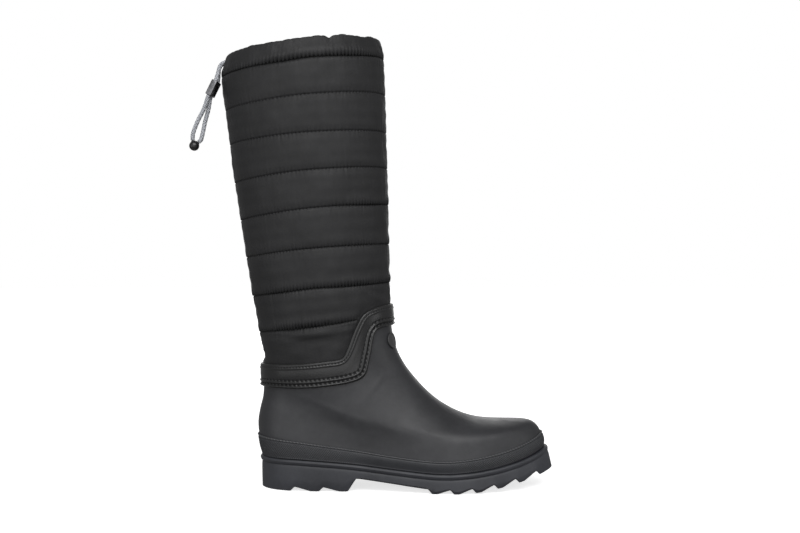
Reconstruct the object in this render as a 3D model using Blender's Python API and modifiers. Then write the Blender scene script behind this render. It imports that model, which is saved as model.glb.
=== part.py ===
"""Insulated rubber boot for the right foot, women's size 38.

A hollow rubber foot stands on a lugged outsole, with a foxing strip round its lower edge. A quilted
shaft meets it under a joining band, and a drawcord hangs out behind the collar.

Sizes are in millimetres: x runs from the heel to the toe, y to the inner side of the foot and z up
from the floor. Points become metres where a mesh or a curve is made.
"""

import math
from collections import namedtuple

import bmesh
import bpy
from mathutils import Matrix, Vector

MM = 0.001
COLLECTION = "insulated_boot"
CUTTERS = "insulated_boot_cutters"

# Driving dimensions
BEAD_LENGTH = 277.5
TOE_SHIFT = 6.0
FOOT_WALL = 2.4
SHAFT_WALL = 3.0
PUFF = 1.8
PUFF_REACH = 9.0
SHOULDER = 2.0
SEAT_GAP = 0.3
OVERLAY_GAP = 0.45
FOXING_THICKNESS = 1.6
BAND_THICKNESS = 2.2
INSOLE_THICKNESS = 4.0
BADGE_RADIUS = 7.5
BADGE_THICKNESS = 1.2
CORD_DIAMETER = 4.0
BALL_DIAMETER = 9.5

COLUMNS = 40
BAND_COLUMNS = 80

# The outline of the sole's bead: half-widths either side of the centre line, and the height of its
# upper edge, at places along the foot
Station = namedtuple("Station", "along outer inner top")
STATIONS = (
    Station(4.0, 15.5, 15.5, 30.0),
    Station(20.0, 30.5, 30.0, 30.0),
    Station(45.0, 36.0, 34.5, 29.3),
    Station(90.0, 37.5, 30.5, 25.8),
    Station(130.0, 42.5, 34.0, 21.5),
    Station(170.0, 48.5, 44.5, 18.4),
    Station(200.0, 49.3, 48.5, 20.0),
    Station(230.0, 43.5, 43.5, 24.6),
    Station(255.0, 32.5, 32.5, 30.8),
    Station(272.0, 16.5, 16.5, 36.8),
)
BALL_FULLNESS = 55.0

# The boot's outer form: one closed ring for each line, from the feather edge up to the collar.
# A rise is a height above the sole's upper edge at that place, oval is the share of an oval in a
# ring's outline, the rest being the outline of the foot, and bow is how blunt its front half is: two
# for a plain ellipse, more for a fuller toe box or instep.
Ring = namedtuple("Ring", "name back back_rise side_rise front front_rise outer inner oval bow")
RINGS = (
    Ring("feather edge", 3.0, 0.4, 0.4, 270.0, 1.2, 50.5, 50.5, 0.0, 2.0),
    Ring("foot wall", 0.3, 9.0, 7.0, 270.3, 7.0, 52.0, 52.0, 0.0, 2.0),
    Ring("foxing line", -1.4, 20.0, 12.0, 267.8, 15.0, 51.5, 51.5, 0.0, 2.0),
    Ring("toe front", -2.2, 28.0, 20.5, 262.8, 24.2, 50.0, 50.0, 0.08, 2.0),
    Ring("toe crown", -1.9, 35.0, 28.0, 252.4, 31.6, 48.0, 48.0, 0.2, 2.1),
    Ring("toe box", -0.9, 41.0, 34.0, 230.0, 37.2, 46.0, 45.5, 0.3, 2.3),
    Ring("ball", 0.4, 47.0, 39.5, 204.0, 43.6, 43.8, 43.3, 0.45, 2.5),
    Ring("low instep", 1.9, 53.0, 45.5, 179.0, 55.8, 41.0, 40.5, 0.65, 2.6),
    Ring("instep", 2.8, 60.0, 53.0, 159.0, 70.2, 39.0, 38.5, 0.8, 2.6),
    Ring("high instep", 3.0, 68.0, 64.7, 143.0, 86.8, 38.0, 37.5, 0.95, 2.4),
    Ring("heel top", 2.5, 79.0, 81.0, 131.3, 104.7, 38.5, 38.0, 1.0, 2.2),
    Ring("ankle", 1.7, 95.0, 102.0, 125.5, 125.2, 40.0, 39.5, 1.0, 2.1),
    Ring("seam 7", -0.8, 116.6, 126.4, 124.3, 141.0, 42.0, 42.0, 1.0, 2.0),
    Ring("seam 6", -7.1, 150.4, 159.9, 122.8, 171.7, 44.0, 44.0, 1.0, 2.0),
    Ring("seam 5", -13.1, 186.7, 195.9, 122.0, 207.4, 45.5, 45.5, 1.0, 2.0),
    Ring("seam 4", -18.5, 221.8, 232.2, 121.3, 244.9, 47.0, 47.0, 1.0, 2.0),
    Ring("seam 3", -24.0, 257.1, 266.6, 120.4, 278.8, 48.5, 48.5, 1.0, 2.0),
    Ring("seam 2", -28.7, 293.2, 300.5, 119.4, 312.5, 50.0, 50.0, 1.0, 2.0),
    Ring("seam 1", -32.9, 325.4, 334.4, 118.4, 348.2, 51.0, 51.0, 1.0, 2.0),
    Ring("collar seam", -36.6, 357.6, 368.0, 116.8, 383.1, 51.5, 51.5, 1.0, 2.0),
    Ring("rim", -32.6, 376.2, 384.8, 114.0, 398.8, 50.5, 50.5, 1.0, 2.0),
)
LEVEL = {ring.name: level for level, ring in enumerate(RINGS)}
SEAM_LEVELS = range(LEVEL["seam 7"], LEVEL["rim"])

# The joining band's two edges, at places along the boot: nearly level behind, steep over the ankle
# bone and level again in front
EdgePoint = namedtuple("EdgePoint", "along height")
BAND_TOP = (
    EdgePoint(0.0, 116.3),
    EdgePoint(40.0, 118.4),
    EdgePoint(66.0, 121.2),
    EdgePoint(78.0, 123.6),
    EdgePoint(84.0, 131.5),
    EdgePoint(94.0, 153.5),
    EdgePoint(100.0, 163.0),
    EdgePoint(110.0, 169.2),
    EdgePoint(126.0, 172.9),
)
BAND_FOOT = (
    EdgePoint(0.0, 94.8),
    EdgePoint(40.0, 95.8),
    EdgePoint(66.0, 98.6),
    EdgePoint(80.0, 101.2),
    EdgePoint(90.0, 105.2),
    EdgePoint(96.5, 112.0),
    EdgePoint(103.4, 127.9),
    EdgePoint(108.8, 145.0),
    EdgePoint(113.0, 149.8),
    EdgePoint(126.0, 152.6),
)

# The sole's side from its upper edge down: distance out from the outline, the same at the tip of the
# toe, where the bead hugs the foot, and drop
SoleStep = namedtuple("SoleStep", "name out toe_out drop")
SOLE_STEPS = (
    SoleStep("upper edge", -2.2, -5.2, 0.0),
    SoleStep("bead top", -0.5, -3.0, 0.7),
    SoleStep("bead", 0.2, -2.0, 2.4),
    SoleStep("bead foot", -0.5, -2.2, 4.4),
    SoleStep("groove", -1.7, -2.4, 5.4),
    SoleStep("wall", -0.9, -1.5, 6.8),
)
TOE_HUG = 6.0
HEEL_FLARE = -1.5
TOE_FLARE = 1.8

# Saw-tooth lugs: the heel's steep faces look forward, the forefoot's look back
LUG_DEPTH = 4.0
HEEL_LUGS = 3
HEEL_LUG_PITCH = 26.8
HEEL_BREAST = 85.0
HEEL_LUG_FACE = 3.8
HEEL_LUG_SLOPE = 15.0
BREAST_RUN = 7.3
ARCH_HEIGHT = 12.4
ARCH_END = 158.8
ARCH_END_HEIGHT = 4.2
FOREFOOT_LUGS = 6
FOREFOOT_LUG_PITCH = 20.1
FOREFOOT_LUG_FACE = 3.4
FOREFOOT_LUG_FLAT = 5.0
SPRING_START = 188.0
TOE_SPRING = 17.4

BADGE_HEIGHT = 138.0
BADGE_TURN = math.radians(164.5)

# The drawcord behind the collar: two strands leave the tunnel, run through the lock and end at the ball
CORD_LOCK_TOP = Vector((-40.1, -12.6, 382.7))
CORD_LOCK_LENGTH = 15.0
CORD_LOCK_TILT = math.radians(26.0)
CORD_LOCK_TURN = math.radians(15.0)
CORD_LOCK_WIDTH = 5.8
CORD_LOCK_DEPTH = 10.4
CORD_LOCK_BEVEL = 0.5
STRAND_SPACING = 4.9
EYELET_TURN = 0.17
EYELET_SPREAD = 0.042
CORD_POINT_SPACING = 6.0
StrandLeave = namedtuple("StrandLeave", "out drop")
STRAND_LEAVES = (StrandLeave(2.5, 0.0), StrandLeave(3.4, 2.4), StrandLeave(3.6, 5.7))
BALL_CENTRE = Vector((-61.3, -12.6, 322.0))
OUTER_STRAND_BELOW = (
    Vector((-51.9, -14.0, 356.6)),
    Vector((-57.7, -14.0, 345.1)),
    Vector((-62.2, -13.6, 333.6)),
    Vector((-62.7, -13.0, 328.5)),
)
INNER_STRAND_BELOW = (
    Vector((-48.5, -10.2, 356.2)),
    Vector((-51.4, -10.0, 345.7)),
    Vector((-53.3, -10.4, 336.2)),
    Vector((-55.3, -11.4, 327.6)),
)


# Curves and the boot's form


def smooth(knots, values, at):
    """A smooth curve through the values at their knots, with its end pieces carried on straight."""
    last = len(knots) - 1
    piece = 0
    while piece < last - 1 and knots[piece + 1] <= at:
        piece += 1

    def slope(knot):
        before, after = max(knot - 1, 0), min(knot + 1, last)
        return (values[after] - values[before]) / (knots[after] - knots[before])

    span = knots[piece + 1] - knots[piece]
    share = (at - knots[piece]) / span
    if share < 0.0:
        return values[0] + slope(0) * (at - knots[0])
    if share > 1.0:
        return values[last] + slope(last) * (at - knots[last])
    left, right = slope(piece) * span, slope(piece + 1) * span
    rise = values[piece + 1] - values[piece]
    square = 3.0 * rise - 2.0 * left - right
    cube = left + right - 2.0 * rise
    return values[piece] + share * (left + share * (square + share * cube))


ALONG = [station.along for station in STATIONS]
TOP = [station.top for station in STATIONS]


def sole_top(along):
    """Height of the sole's upper edge."""
    return smooth(ALONG, TOP, max(along, ALONG[0]))


def end_rounding(share):
    """Falls from one at mid-length to nothing at both ends, as an ellipse does."""
    return 2.0 * math.sqrt(max(share * (1.0 - share), 0.0))


def fullness(side, share):
    """How far the foot's outline swells beyond a plain ellipse, as half-width over end rounding."""
    shares = [station.along / BEAD_LENGTH for station in STATIONS]
    values = [getattr(station, side) / end_rounding(at) for station, at in zip(STATIONS, shares)]
    return smooth(shares, values, min(max(share, shares[0]), shares[-1]))


FULLNESS_STEPS = 200
FULLNESS = {
    side: [fullness(side, step / FULLNESS_STEPS) for step in range(FULLNESS_STEPS + 1)]
    for side in ("outer", "inner")
}


def fullness_at(side, share):
    """The outline's fullness, read from its evenly spaced values."""
    place = share * FULLNESS_STEPS
    step = min(int(place), FULLNESS_STEPS - 1)
    low, high = FULLNESS[side][step], FULLNESS[side][step + 1]
    return low + (high - low) * (place - step)


def centre_line(share):
    """Sideways shift of the outline's centre line, which turns inwards at the toe."""
    return TOE_SHIFT * share**4


def ring_at(level):
    """The ring at any level, between the rows of the table."""
    levels = range(len(RINGS))
    columns = {
        field: smooth(levels, [getattr(ring, field) for ring in RINGS], level)
        for field in Ring._fields
        if field != "name"
    }
    return Ring(name="between", **columns)


def bowed(turn, bow):
    """Share of a ring's half-width at a turn: an ellipse behind, and as blunt in front as its bow says."""
    power = bow if math.cos(turn) < 0.0 else 2.0
    half = max(1.0 - abs(math.cos(turn)) ** power, 0.0) ** (1.0 / power)
    return math.copysign(half, math.sin(turn))


RING_CACHE = {}


def boot_point(level, turn):
    """A point of the boot's outer form; turn goes from the heel over the outer side to the toe and back."""
    key = round(level, 5)
    if key not in RING_CACHE:
        RING_CACHE[key] = ring_at(level)
    ring = RING_CACHE[key]
    share = (1.0 - math.cos(turn)) / 2.0
    along = ring.back + (ring.front - ring.back) * share
    side = "outer" if math.sin(turn) >= 0.0 else "inner"
    foot = fullness_at(side, share) / BALL_FULLNESS
    width = getattr(ring, side) * (foot + (1.0 - foot) * ring.oval)
    middle = 2.0 * share - 1.0
    rise = ring.side_rise * (1.0 - middle**2) + (ring.front_rise - ring.back_rise) / 2.0 * middle
    rise += (ring.front_rise + ring.back_rise) / 2.0 * middle**2
    across = centre_line(share) * (1.0 - ring.oval) - width * bowed(turn, ring.bow)
    return Vector((along, across, sole_top(along) + rise))


STEP = 0.02


def outward(level, turn):
    """Unit vector square to the boot's form, pointing out of it."""
    around = boot_point(level, turn + STEP) - boot_point(level, turn - STEP)
    up = boot_point(level + STEP, turn) - boot_point(level - STEP, turn)
    return around.cross(up).normalized()


def level_at_height(height, turn):
    """The level at which the form reaches a height, found by halving."""
    low, high = 0.0, float(len(RINGS) - 1)
    for _ in range(30):
        middle = (low + high) / 2.0
        if boot_point(middle, turn).z < height:
            low = middle
        else:
            high = middle
    return (low + high) / 2.0


def band_height(edge, turn):
    """Height of an edge of the joining band."""
    along = boot_point(LEVEL["ankle"], turn).x
    return smooth([point.along for point in edge], [point.height for point in edge], along)


def band_level(edge, turn):
    """The level of an edge of the joining band."""
    return level_at_height(band_height(edge, turn), turn)


def joint_level(turn):
    """The line under the band where shaft and foot meet."""
    return (band_level(BAND_TOP, turn) + band_level(BAND_FOOT, turn)) / 2.0


def puff_at(level, turn):
    """How far the padding stands out between the seams and above the band."""
    height = boot_point(level, turn).z
    gaps = [abs(height - boot_point(seam, turn).z) for seam in SEAM_LEVELS]
    gaps.append(max(height - band_height(BAND_TOP, turn) - SHOULDER, 0.0))
    return PUFF * math.tanh(min(gaps) / PUFF_REACH)


def turns(count):
    return [2.0 * math.pi * step / count for step in range(count)]


# Blender objects


def new_collection(name):
    collection = bpy.data.collections.new(name)
    bpy.context.scene.collection.children.link(collection)
    return collection


def finish(name, base_color, roughness, metallic=0.0):
    """A plain material."""
    material = bpy.data.materials.new(name)
    material.use_nodes = True
    shader = material.node_tree.nodes["Principled BSDF"]
    shader.inputs["Base Color"].default_value = (*base_color, 1.0)
    shader.inputs["Roughness"].default_value = roughness
    shader.inputs["Metallic"].default_value = metallic
    return material


def add_object(name, data, material, parent, collection):
    """A named object under the boot's empty."""
    thing = bpy.data.objects.new(name, data)
    data.materials.append(material)
    collection.objects.link(thing)
    thing.parent = parent
    return thing


def loft_mesh(name, rows, low_cap=None, high_cap=None):
    """Quads between closed rows of points in millimetres, with optional caps listed as corner indices."""
    mesh = bpy.data.meshes.new(name)
    form = bmesh.new()
    loops = [[form.verts.new(point * MM) for point in row] for row in rows]
    for below, above in zip(loops, loops[1:]):
        for here in range(len(below)):
            after = (here + 1) % len(below)
            form.faces.new((below[here], below[after], above[after], above[here]))
    for corners in low_cap or ():
        form.faces.new([loops[0][corner] for corner in reversed(corners)])
    for corners in high_cap or ():
        form.faces.new([loops[-1][corner] for corner in corners])
    form.to_mesh(mesh)
    form.free()
    mesh.shade_smooth()
    return mesh


def add_wall(thing, thickness, outwards):
    """Gives an open surface its thickness, to one side of it."""
    wall = thing.modifiers.new("wall", "SOLIDIFY")
    wall.thickness = thickness * MM
    wall.offset = 1.0 if outwards else -1.0
    wall.use_even_offset = True
    wall.use_quality_normals = True
    return thing


def cap_corners(count):
    """Corners of the quads and end triangles that close a loop which starts at the heel."""
    toe = count // 2
    strips = [(here, here + 1, count - here - 1, count - here) for here in range(1, toe - 1)]
    return [(0, 1, count - 1), *strips, (toe - 1, toe, toe + 1)]


# The sole


def spring(along):
    """Toe spring: how far the lug tips lift off the floor towards the toe."""
    return TOE_SPRING * (max(along - SPRING_START, 0.0) / (BEAD_LENGTH - SPRING_START)) ** 1.5


def tread_corners():
    """Corners of the underside, along the foot and up, from the heel's back to the toe."""
    corners = [(0.0, 0.0)]
    for lug in range(HEEL_LUGS):
        edge = HEEL_BREAST - (HEEL_LUGS - 1 - lug) * HEEL_LUG_PITCH
        corners.append((edge, 0.0))
        if edge < HEEL_BREAST:
            notch = edge + HEEL_LUG_FACE
            corners += [(notch, LUG_DEPTH), (notch + HEEL_LUG_SLOPE, 0.0)]
    corners += [(HEEL_BREAST + BREAST_RUN, ARCH_HEIGHT), (ARCH_END, ARCH_END_HEIGHT)]
    for lug in range(FOREFOOT_LUGS):
        edge = ARCH_END + FOREFOOT_LUG_FACE + lug * FOREFOOT_LUG_PITCH
        if lug:
            corners.append((edge - FOREFOOT_LUG_FACE, spring(edge) + LUG_DEPTH))
        corners += [(edge, spring(edge)), (edge + FOREFOOT_LUG_FLAT, spring(edge + FOREFOOT_LUG_FLAT))]
    corners.append((BEAD_LENGTH, spring(BEAD_LENGTH)))
    return corners


TREAD = tread_corners()


def underside(along):
    """Height of the tread at a place along the foot."""
    for (start, low), (end, high) in zip(TREAD, TREAD[1:]):
        if along <= end:
            return low + (high - low) * (along - start) / (end - start)
    return TREAD[-1][1]


ROUNDING_STATIONS = (0.8, 3.0, 7.0, 13.0, 21.0, 105.0, 119.0, 133.0, 147.0, 272.6, 275.0, 276.1)


def sole_stations():
    corners = [along for along, _ in TREAD]
    spare = [along for along in ROUNDING_STATIONS if min(abs(along - corner) for corner in corners) > 0.5]
    return sorted(corners + spare)


def outline_point(along, side):
    """A point of the bead's outline, on the floor."""
    share = along / BEAD_LENGTH
    half = fullness_at(side, share) * end_rounding(share)
    return Vector((along, centre_line(share) + (half if side == "inner" else -half), 0.0))


def sole_rows():
    """Rows of the sole's side from the tread up to its upper edge, each starting at the heel."""
    stations = sole_stations()
    outer = [outline_point(along, "outer") for along in stations]
    inner = [outline_point(along, "inner") for along in stations]
    loop = outer + inner[-2:0:-1]
    places = stations + stations[-2:0:-1]
    outs = []
    for here, _ in enumerate(loop):
        tangent = (loop[(here + 1) % len(loop)] - loop[here - 1]).normalized()
        outs.append(Vector((tangent.y, -tangent.x, 0.0)))
    bottom = []
    for point, out, along in zip(loop, outs, places):
        flare = HEEL_FLARE + (TOE_FLARE - HEEL_FLARE) * (along / BEAD_LENGTH) ** 2
        bottom.append(point + out * flare + Vector((0.0, 0.0, underside(along))))
    rows = [bottom]
    for step in reversed(SOLE_STEPS):
        row = []
        for point, out, along in zip(loop, outs, places):
            hug = (along / BEAD_LENGTH) ** TOE_HUG
            row.append(point + out * (step.out + (step.toe_out - step.out) * hug))
        rows.append([Vector((point.x, point.y, sole_top(point.x) - step.drop)) for point in row])
    return rows


def insole_rows():
    """The footbed's lower and upper outline, inside the rubber foot."""
    low = []
    for turn in turns(COLUMNS):
        level = 0.3
        point = boot_point(level, turn) - outward(level, turn) * (FOOT_WALL + 1.0)
        low.append(Vector((point.x, point.y, sole_top(point.x) + SEAT_GAP)))
    return [low, [point + Vector((0.0, 0.0, INSOLE_THICKNESS)) for point in low]]


# Foot, shaft and overlays

FOOT_LEVELS = (0.0, 1.0, 2.0, 2.6, 3.2, 4.0, 5.0, 6.0, 7.0, 8.0, 9.0)
FOOT_TOP_ROWS = 5
JOINT_GAP = 0.04
ANKLE_ROWS = 7
CHANNEL_ROWS = 3
TUNNEL_LEVELS = (0.3, 0.6, 0.85, 1.0)
BAND_ROWS = 3
FOXING_LEVELS = (0.14, 0.7, 1.35, 2.0)


def foot_rows():
    """The rubber foot's outer surface, from the feather edge to the joint under the band."""
    around = turns(COLUMNS)
    rows = [[boot_point(level, turn) for turn in around] for level in FOOT_LEVELS]
    base = FOOT_LEVELS[-1]
    ends = [joint_level(turn) - JOINT_GAP / 2.0 for turn in around]
    for row in range(1, FOOT_TOP_ROWS + 1):
        share = row / FOOT_TOP_ROWS
        rows.append([boot_point(base + (end - base) * share, turn) for end, turn in zip(ends, around)])
    return rows


def shaft_point(level, turn):
    """A point of the quilted surface, which rounds over at the rim."""
    over = max(level - LEVEL["collar seam"], 0.0)
    return boot_point(level, turn) + outward(level, turn) * puff_at(level, turn) * (1.0 - over**6)


def shaft_rows():
    """The quilted shaft's outer surface, from the joint up to the rim."""
    around = turns(COLUMNS)
    first, collar = LEVEL["seam 6"], LEVEL["collar seam"]
    rows = [[boot_point(joint_level(turn) + JOINT_GAP / 2.0, turn) for turn in around]]
    starts = [level_at_height(band_height(BAND_TOP, turn) + SHOULDER, turn) for turn in around]
    for row in range(ANKLE_ROWS):
        share = row / ANKLE_ROWS
        rows.append([shaft_point(start + (first - start) * share, turn) for start, turn in zip(starts, around)])
    levels = [first + row / CHANNEL_ROWS for row in range((collar - first) * CHANNEL_ROWS + 1)]
    levels += [collar + share for share in TUNNEL_LEVELS]
    return rows + [[shaft_point(level, turn) for turn in around] for level in levels]


def band_rows():
    """The joining band's inner surface, a gap outside the boot's form."""
    around = turns(BAND_COLUMNS)
    lows = [band_level(BAND_FOOT, turn) for turn in around]
    highs = [band_level(BAND_TOP, turn) for turn in around]
    rows = []
    for row in range(BAND_ROWS + 1):
        share = row / BAND_ROWS
        levels = [low + (high - low) * share for low, high in zip(lows, highs)]
        rows.append(
            [boot_point(at, turn) + outward(at, turn) * OVERLAY_GAP for at, turn in zip(levels, around)]
        )
    return rows


def foxing_rows():
    """The foxing strip's inner surface."""
    return [
        [boot_point(level, turn) + outward(level, turn) * OVERLAY_GAP for turn in turns(COLUMNS)]
        for level in FOXING_LEVELS
    ]


def badge_mesh(name):
    """A plain round disc with a sloping edge, on the instep's outer side."""
    level = level_at_height(BADGE_HEIGHT, BADGE_TURN)
    out = outward(level, BADGE_TURN)
    place = boot_point(level, BADGE_TURN) + out * (OVERLAY_GAP + BADGE_THICKNESS / 2.0)
    turn = out.to_track_quat("Z", "Y").to_matrix().to_4x4()
    mesh = bpy.data.meshes.new(name)
    form = bmesh.new()
    bmesh.ops.create_cone(
        form,
        cap_ends=True,
        segments=28,
        radius1=BADGE_RADIUS * MM,
        radius2=(BADGE_RADIUS - 0.8) * MM,
        depth=BADGE_THICKNESS * MM,
        matrix=Matrix.Translation(place * MM) @ turn,
    )
    form.to_mesh(mesh)
    form.free()
    return mesh


# Drawcord


def smooth_route(points, spacing):
    """Evenly spaced points on a smooth curve through the given ones."""
    marks = [0.0]
    for before, after in zip(points, points[1:]):
        marks.append(marks[-1] + (after - before).length)
    count = max(round(marks[-1] / spacing), 2)
    places = [marks[-1] * step / count for step in range(count + 1)]
    return [Vector([smooth(marks, [point[axis] for point in points], at) for axis in range(3)]) for at in places]


def lock_axes():
    """The lock's direction down the cord, and the direction from one strand to the other."""
    down = Vector((-math.sin(CORD_LOCK_TILT), 0.0, -math.cos(CORD_LOCK_TILT)))
    across = Vector((math.sin(CORD_LOCK_TURN), math.cos(CORD_LOCK_TURN), 0.0))
    return down, (across - down * across.dot(down)).normalized()


def strand_route(side):
    """A strand's route from the collar through the lock to the ball: side is -1 outside, 1 inside."""
    down, across = lock_axes()
    lane = across * (side * STRAND_SPACING / 2.0)
    tunnel = LEVEL["collar seam"] + 0.55
    eyelet = EYELET_TURN - side * EYELET_SPREAD
    collar = shaft_point(tunnel, eyelet)
    out = outward(tunnel, eyelet)
    below = OUTER_STRAND_BELOW if side < 0 else INNER_STRAND_BELOW
    route = [collar + out * leave.out - Vector((0.0, 0.0, leave.drop)) for leave in STRAND_LEAVES]
    route += [CORD_LOCK_TOP + lane + down * (CORD_LOCK_LENGTH * share) for share in (0.0, 0.5, 1.0)]
    route += below
    reach = BALL_DIAMETER / 2.0 + SEAT_GAP
    route.append(BALL_CENTRE + (route[-1] - BALL_CENTRE).normalized() * reach)
    return route


def add_strand(name, side, material, parent, collection):
    """A strand as a bevelled curve with closed ends."""
    points = smooth_route(strand_route(side), CORD_POINT_SPACING)
    curve = bpy.data.curves.new(name, "CURVE")
    curve.dimensions = "3D"
    curve.bevel_depth = CORD_DIAMETER / 2.0 * MM
    curve.bevel_resolution = 2
    curve.use_fill_caps = True
    line = curve.splines.new("POLY")
    line.points.add(len(points) - 1)
    for spot, point in zip(line.points, points):
        spot.co = (*(point * MM), 1.0)
    return add_object(name, curve, material, parent, collection)


def box_mesh(name, size, bevel):
    """A box with rounded edges, centred on its own origin."""
    mesh = bpy.data.meshes.new(name)
    form = bmesh.new()
    bmesh.ops.create_cube(form, size=1.0, matrix=Matrix.Diagonal((*(size * MM), 1.0)))
    bmesh.ops.bevel(form, geom=form.edges[:], offset=bevel * MM, segments=2, profile=0.5, affect="EDGES")
    form.to_mesh(mesh)
    form.free()
    return mesh


def cylinder_mesh(name, radius, length):
    mesh = bpy.data.meshes.new(name)
    form = bmesh.new()
    bmesh.ops.create_cone(
        form, cap_ends=True, segments=16, radius1=radius * MM, radius2=radius * MM, depth=length * MM
    )
    form.to_mesh(mesh)
    form.free()
    return mesh


def add_lock(name, material, parent, collection, cutters):
    """The flat cord lock, bored for its two strands."""
    down, across = lock_axes()
    turn = Matrix((down.cross(across), across, -down)).transposed().to_4x4()
    middle = CORD_LOCK_TOP + down * (CORD_LOCK_LENGTH / 2.0)
    size = Vector((CORD_LOCK_WIDTH, CORD_LOCK_DEPTH, CORD_LOCK_LENGTH))
    lock = add_object(name, box_mesh(name, size, CORD_LOCK_BEVEL), material, parent, collection)
    lock.matrix_local = Matrix.Translation(middle * MM) @ turn
    for side in (-1, 1):
        label = f"{name}_bore_{'outer' if side < 0 else 'inner'}"
        bore = cylinder_mesh(label, CORD_DIAMETER / 2.0 + SEAT_GAP, CORD_LOCK_LENGTH * 1.5)
        cutter = add_object(label, bore, material, parent, cutters)
        lane = across * (side * STRAND_SPACING / 2.0)
        cutter.matrix_local = Matrix.Translation((middle + lane) * MM) @ turn
        cutter.hide_render = True
        cutter.display_type = "WIRE"
        cut = lock.modifiers.new(label, "BOOLEAN")
        cut.operation = "DIFFERENCE"
        cut.solver = "EXACT"
        cut.object = cutter
    return lock


def ball_mesh(name):
    mesh = bpy.data.meshes.new(name)
    form = bmesh.new()
    bmesh.ops.create_uvsphere(
        form,
        u_segments=16,
        v_segments=10,
        radius=BALL_DIAMETER / 2.0 * MM,
        matrix=Matrix.Translation(BALL_CENTRE * MM),
    )
    form.to_mesh(mesh)
    form.free()
    mesh.shade_smooth()
    return mesh


# Assembly


def main():
    for thing in list(bpy.data.objects):
        bpy.data.objects.remove(thing)
    parts = new_collection(COLLECTION)
    cutters = new_collection(CUTTERS)

    rubber = finish("foot_rubber", (0.05, 0.05, 0.053), 0.55)
    foxing_rubber = finish("foxing_rubber", (0.05, 0.05, 0.053), 0.65)
    sole_rubber = finish("sole_rubber", (0.055, 0.056, 0.06), 0.7)
    nylon = finish("quilted_nylon", (0.02, 0.02, 0.021), 0.45)
    band_leather = finish("band_leather", (0.03, 0.03, 0.031), 0.6)
    felt = finish("insole_felt", (0.12, 0.12, 0.12), 0.95)
    badge_rubber = finish("badge_rubber", (0.08, 0.08, 0.082), 0.5)
    braid = finish("cord_braid", (0.17, 0.17, 0.18), 0.85)
    metal = finish("lock_metal", (0.3, 0.3, 0.31), 0.35, 1.0)
    plastic = finish("ball_plastic", (0.01, 0.01, 0.01), 0.3)

    boot = bpy.data.objects.new("boot", None)
    parts.objects.link(boot)
    rows = sole_rows()
    caps = cap_corners(len(rows[0]))
    sole = add_object("outsole", loft_mesh("outsole", rows, caps, caps), sole_rubber, boot, parts)
    caps = cap_corners(COLUMNS)
    add_object("insole", loft_mesh("insole", insole_rows(), caps, caps), felt, boot, parts)

    foot = add_object("rubber_foot", loft_mesh("rubber_foot", foot_rows()), rubber, boot, parts)
    add_wall(foot, FOOT_WALL, outwards=False)
    shaft = add_object("quilted_shaft", loft_mesh("quilted_shaft", shaft_rows()), nylon, boot, parts)
    add_wall(shaft, SHAFT_WALL, outwards=False)
    foxing = add_object("foxing_strip", loft_mesh("foxing_strip", foxing_rows()), foxing_rubber, boot, parts)
    add_wall(foxing, FOXING_THICKNESS, outwards=True)
    band = add_object("joining_band", loft_mesh("joining_band", band_rows()), band_leather, boot, parts)
    add_wall(band, BAND_THICKNESS, outwards=True)
    add_object("instep_badge", badge_mesh("instep_badge"), badge_rubber, boot, parts)

    add_strand("drawcord_outer", -1, braid, boot, parts)
    add_strand("drawcord_inner", 1, braid, boot, parts)
    add_lock("cord_lock", metal, boot, parts, cutters)
    add_object("cord_end_ball", ball_mesh("cord_end_ball"), plastic, boot, parts)

    # The origin is on the floor, in the middle of the box from the shaft's back to the toe
    hindmost = min(vertex.co.x for vertex in shaft.data.vertices)
    foremost = max(vertex.co.x for vertex in sole.data.vertices)
    boot.location.x = -(hindmost + foremost) / 2.0


main()
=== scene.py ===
"""Looks of the insulated rubber boot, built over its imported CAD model.

The tables of the boot's form are in millimetres: x from the heel's back to the toe, y to the inner
side of the foot and z up from the floor. placed() turns such points into metres in the CAD's frame.
"""

import math
import random
from collections import namedtuple

import bmesh
import bpy
import numpy as np
from mathutils import Matrix, Vector


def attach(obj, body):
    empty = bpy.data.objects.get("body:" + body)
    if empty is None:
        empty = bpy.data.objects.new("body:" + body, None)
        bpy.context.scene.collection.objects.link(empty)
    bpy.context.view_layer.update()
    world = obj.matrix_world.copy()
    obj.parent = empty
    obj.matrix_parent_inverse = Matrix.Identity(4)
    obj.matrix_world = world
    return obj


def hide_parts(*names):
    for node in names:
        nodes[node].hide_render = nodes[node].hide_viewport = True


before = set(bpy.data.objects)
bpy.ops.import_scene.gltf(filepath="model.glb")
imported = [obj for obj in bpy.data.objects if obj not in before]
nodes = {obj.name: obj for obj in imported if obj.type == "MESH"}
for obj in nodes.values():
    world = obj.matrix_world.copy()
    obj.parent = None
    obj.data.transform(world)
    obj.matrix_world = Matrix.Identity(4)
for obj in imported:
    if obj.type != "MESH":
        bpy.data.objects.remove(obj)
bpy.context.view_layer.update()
bpy.ops.object.select_all(action="DESELECT")

MM = 0.001
HEEL_X = -120.96
FULL_TURN = 2.0 * math.pi


# The boot's form, as the CAD has it

BEAD_LENGTH = 277.5
TOE_SHIFT = 6.0
BALL_FULLNESS = 55.0
OVERLAY_GAP = 0.45
BAND_THICKNESS = 2.2
SHAFT_WALL = 3.0
PUFF = 0.8
PUFF_REACH = 5.0
SHOULDER = 2.0

Station = namedtuple("Station", "along outer inner top")
STATIONS = (
    Station(4.0, 15.5, 15.5, 30.0),
    Station(20.0, 30.5, 30.0, 30.0),
    Station(45.0, 36.0, 34.5, 29.3),
    Station(90.0, 37.5, 30.5, 25.8),
    Station(130.0, 42.5, 34.0, 21.5),
    Station(170.0, 48.5, 44.5, 18.4),
    Station(200.0, 49.3, 48.5, 20.0),
    Station(230.0, 43.5, 43.5, 24.6),
    Station(255.0, 32.5, 32.5, 30.8),
    Station(272.0, 16.5, 16.5, 36.8),
)

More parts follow.
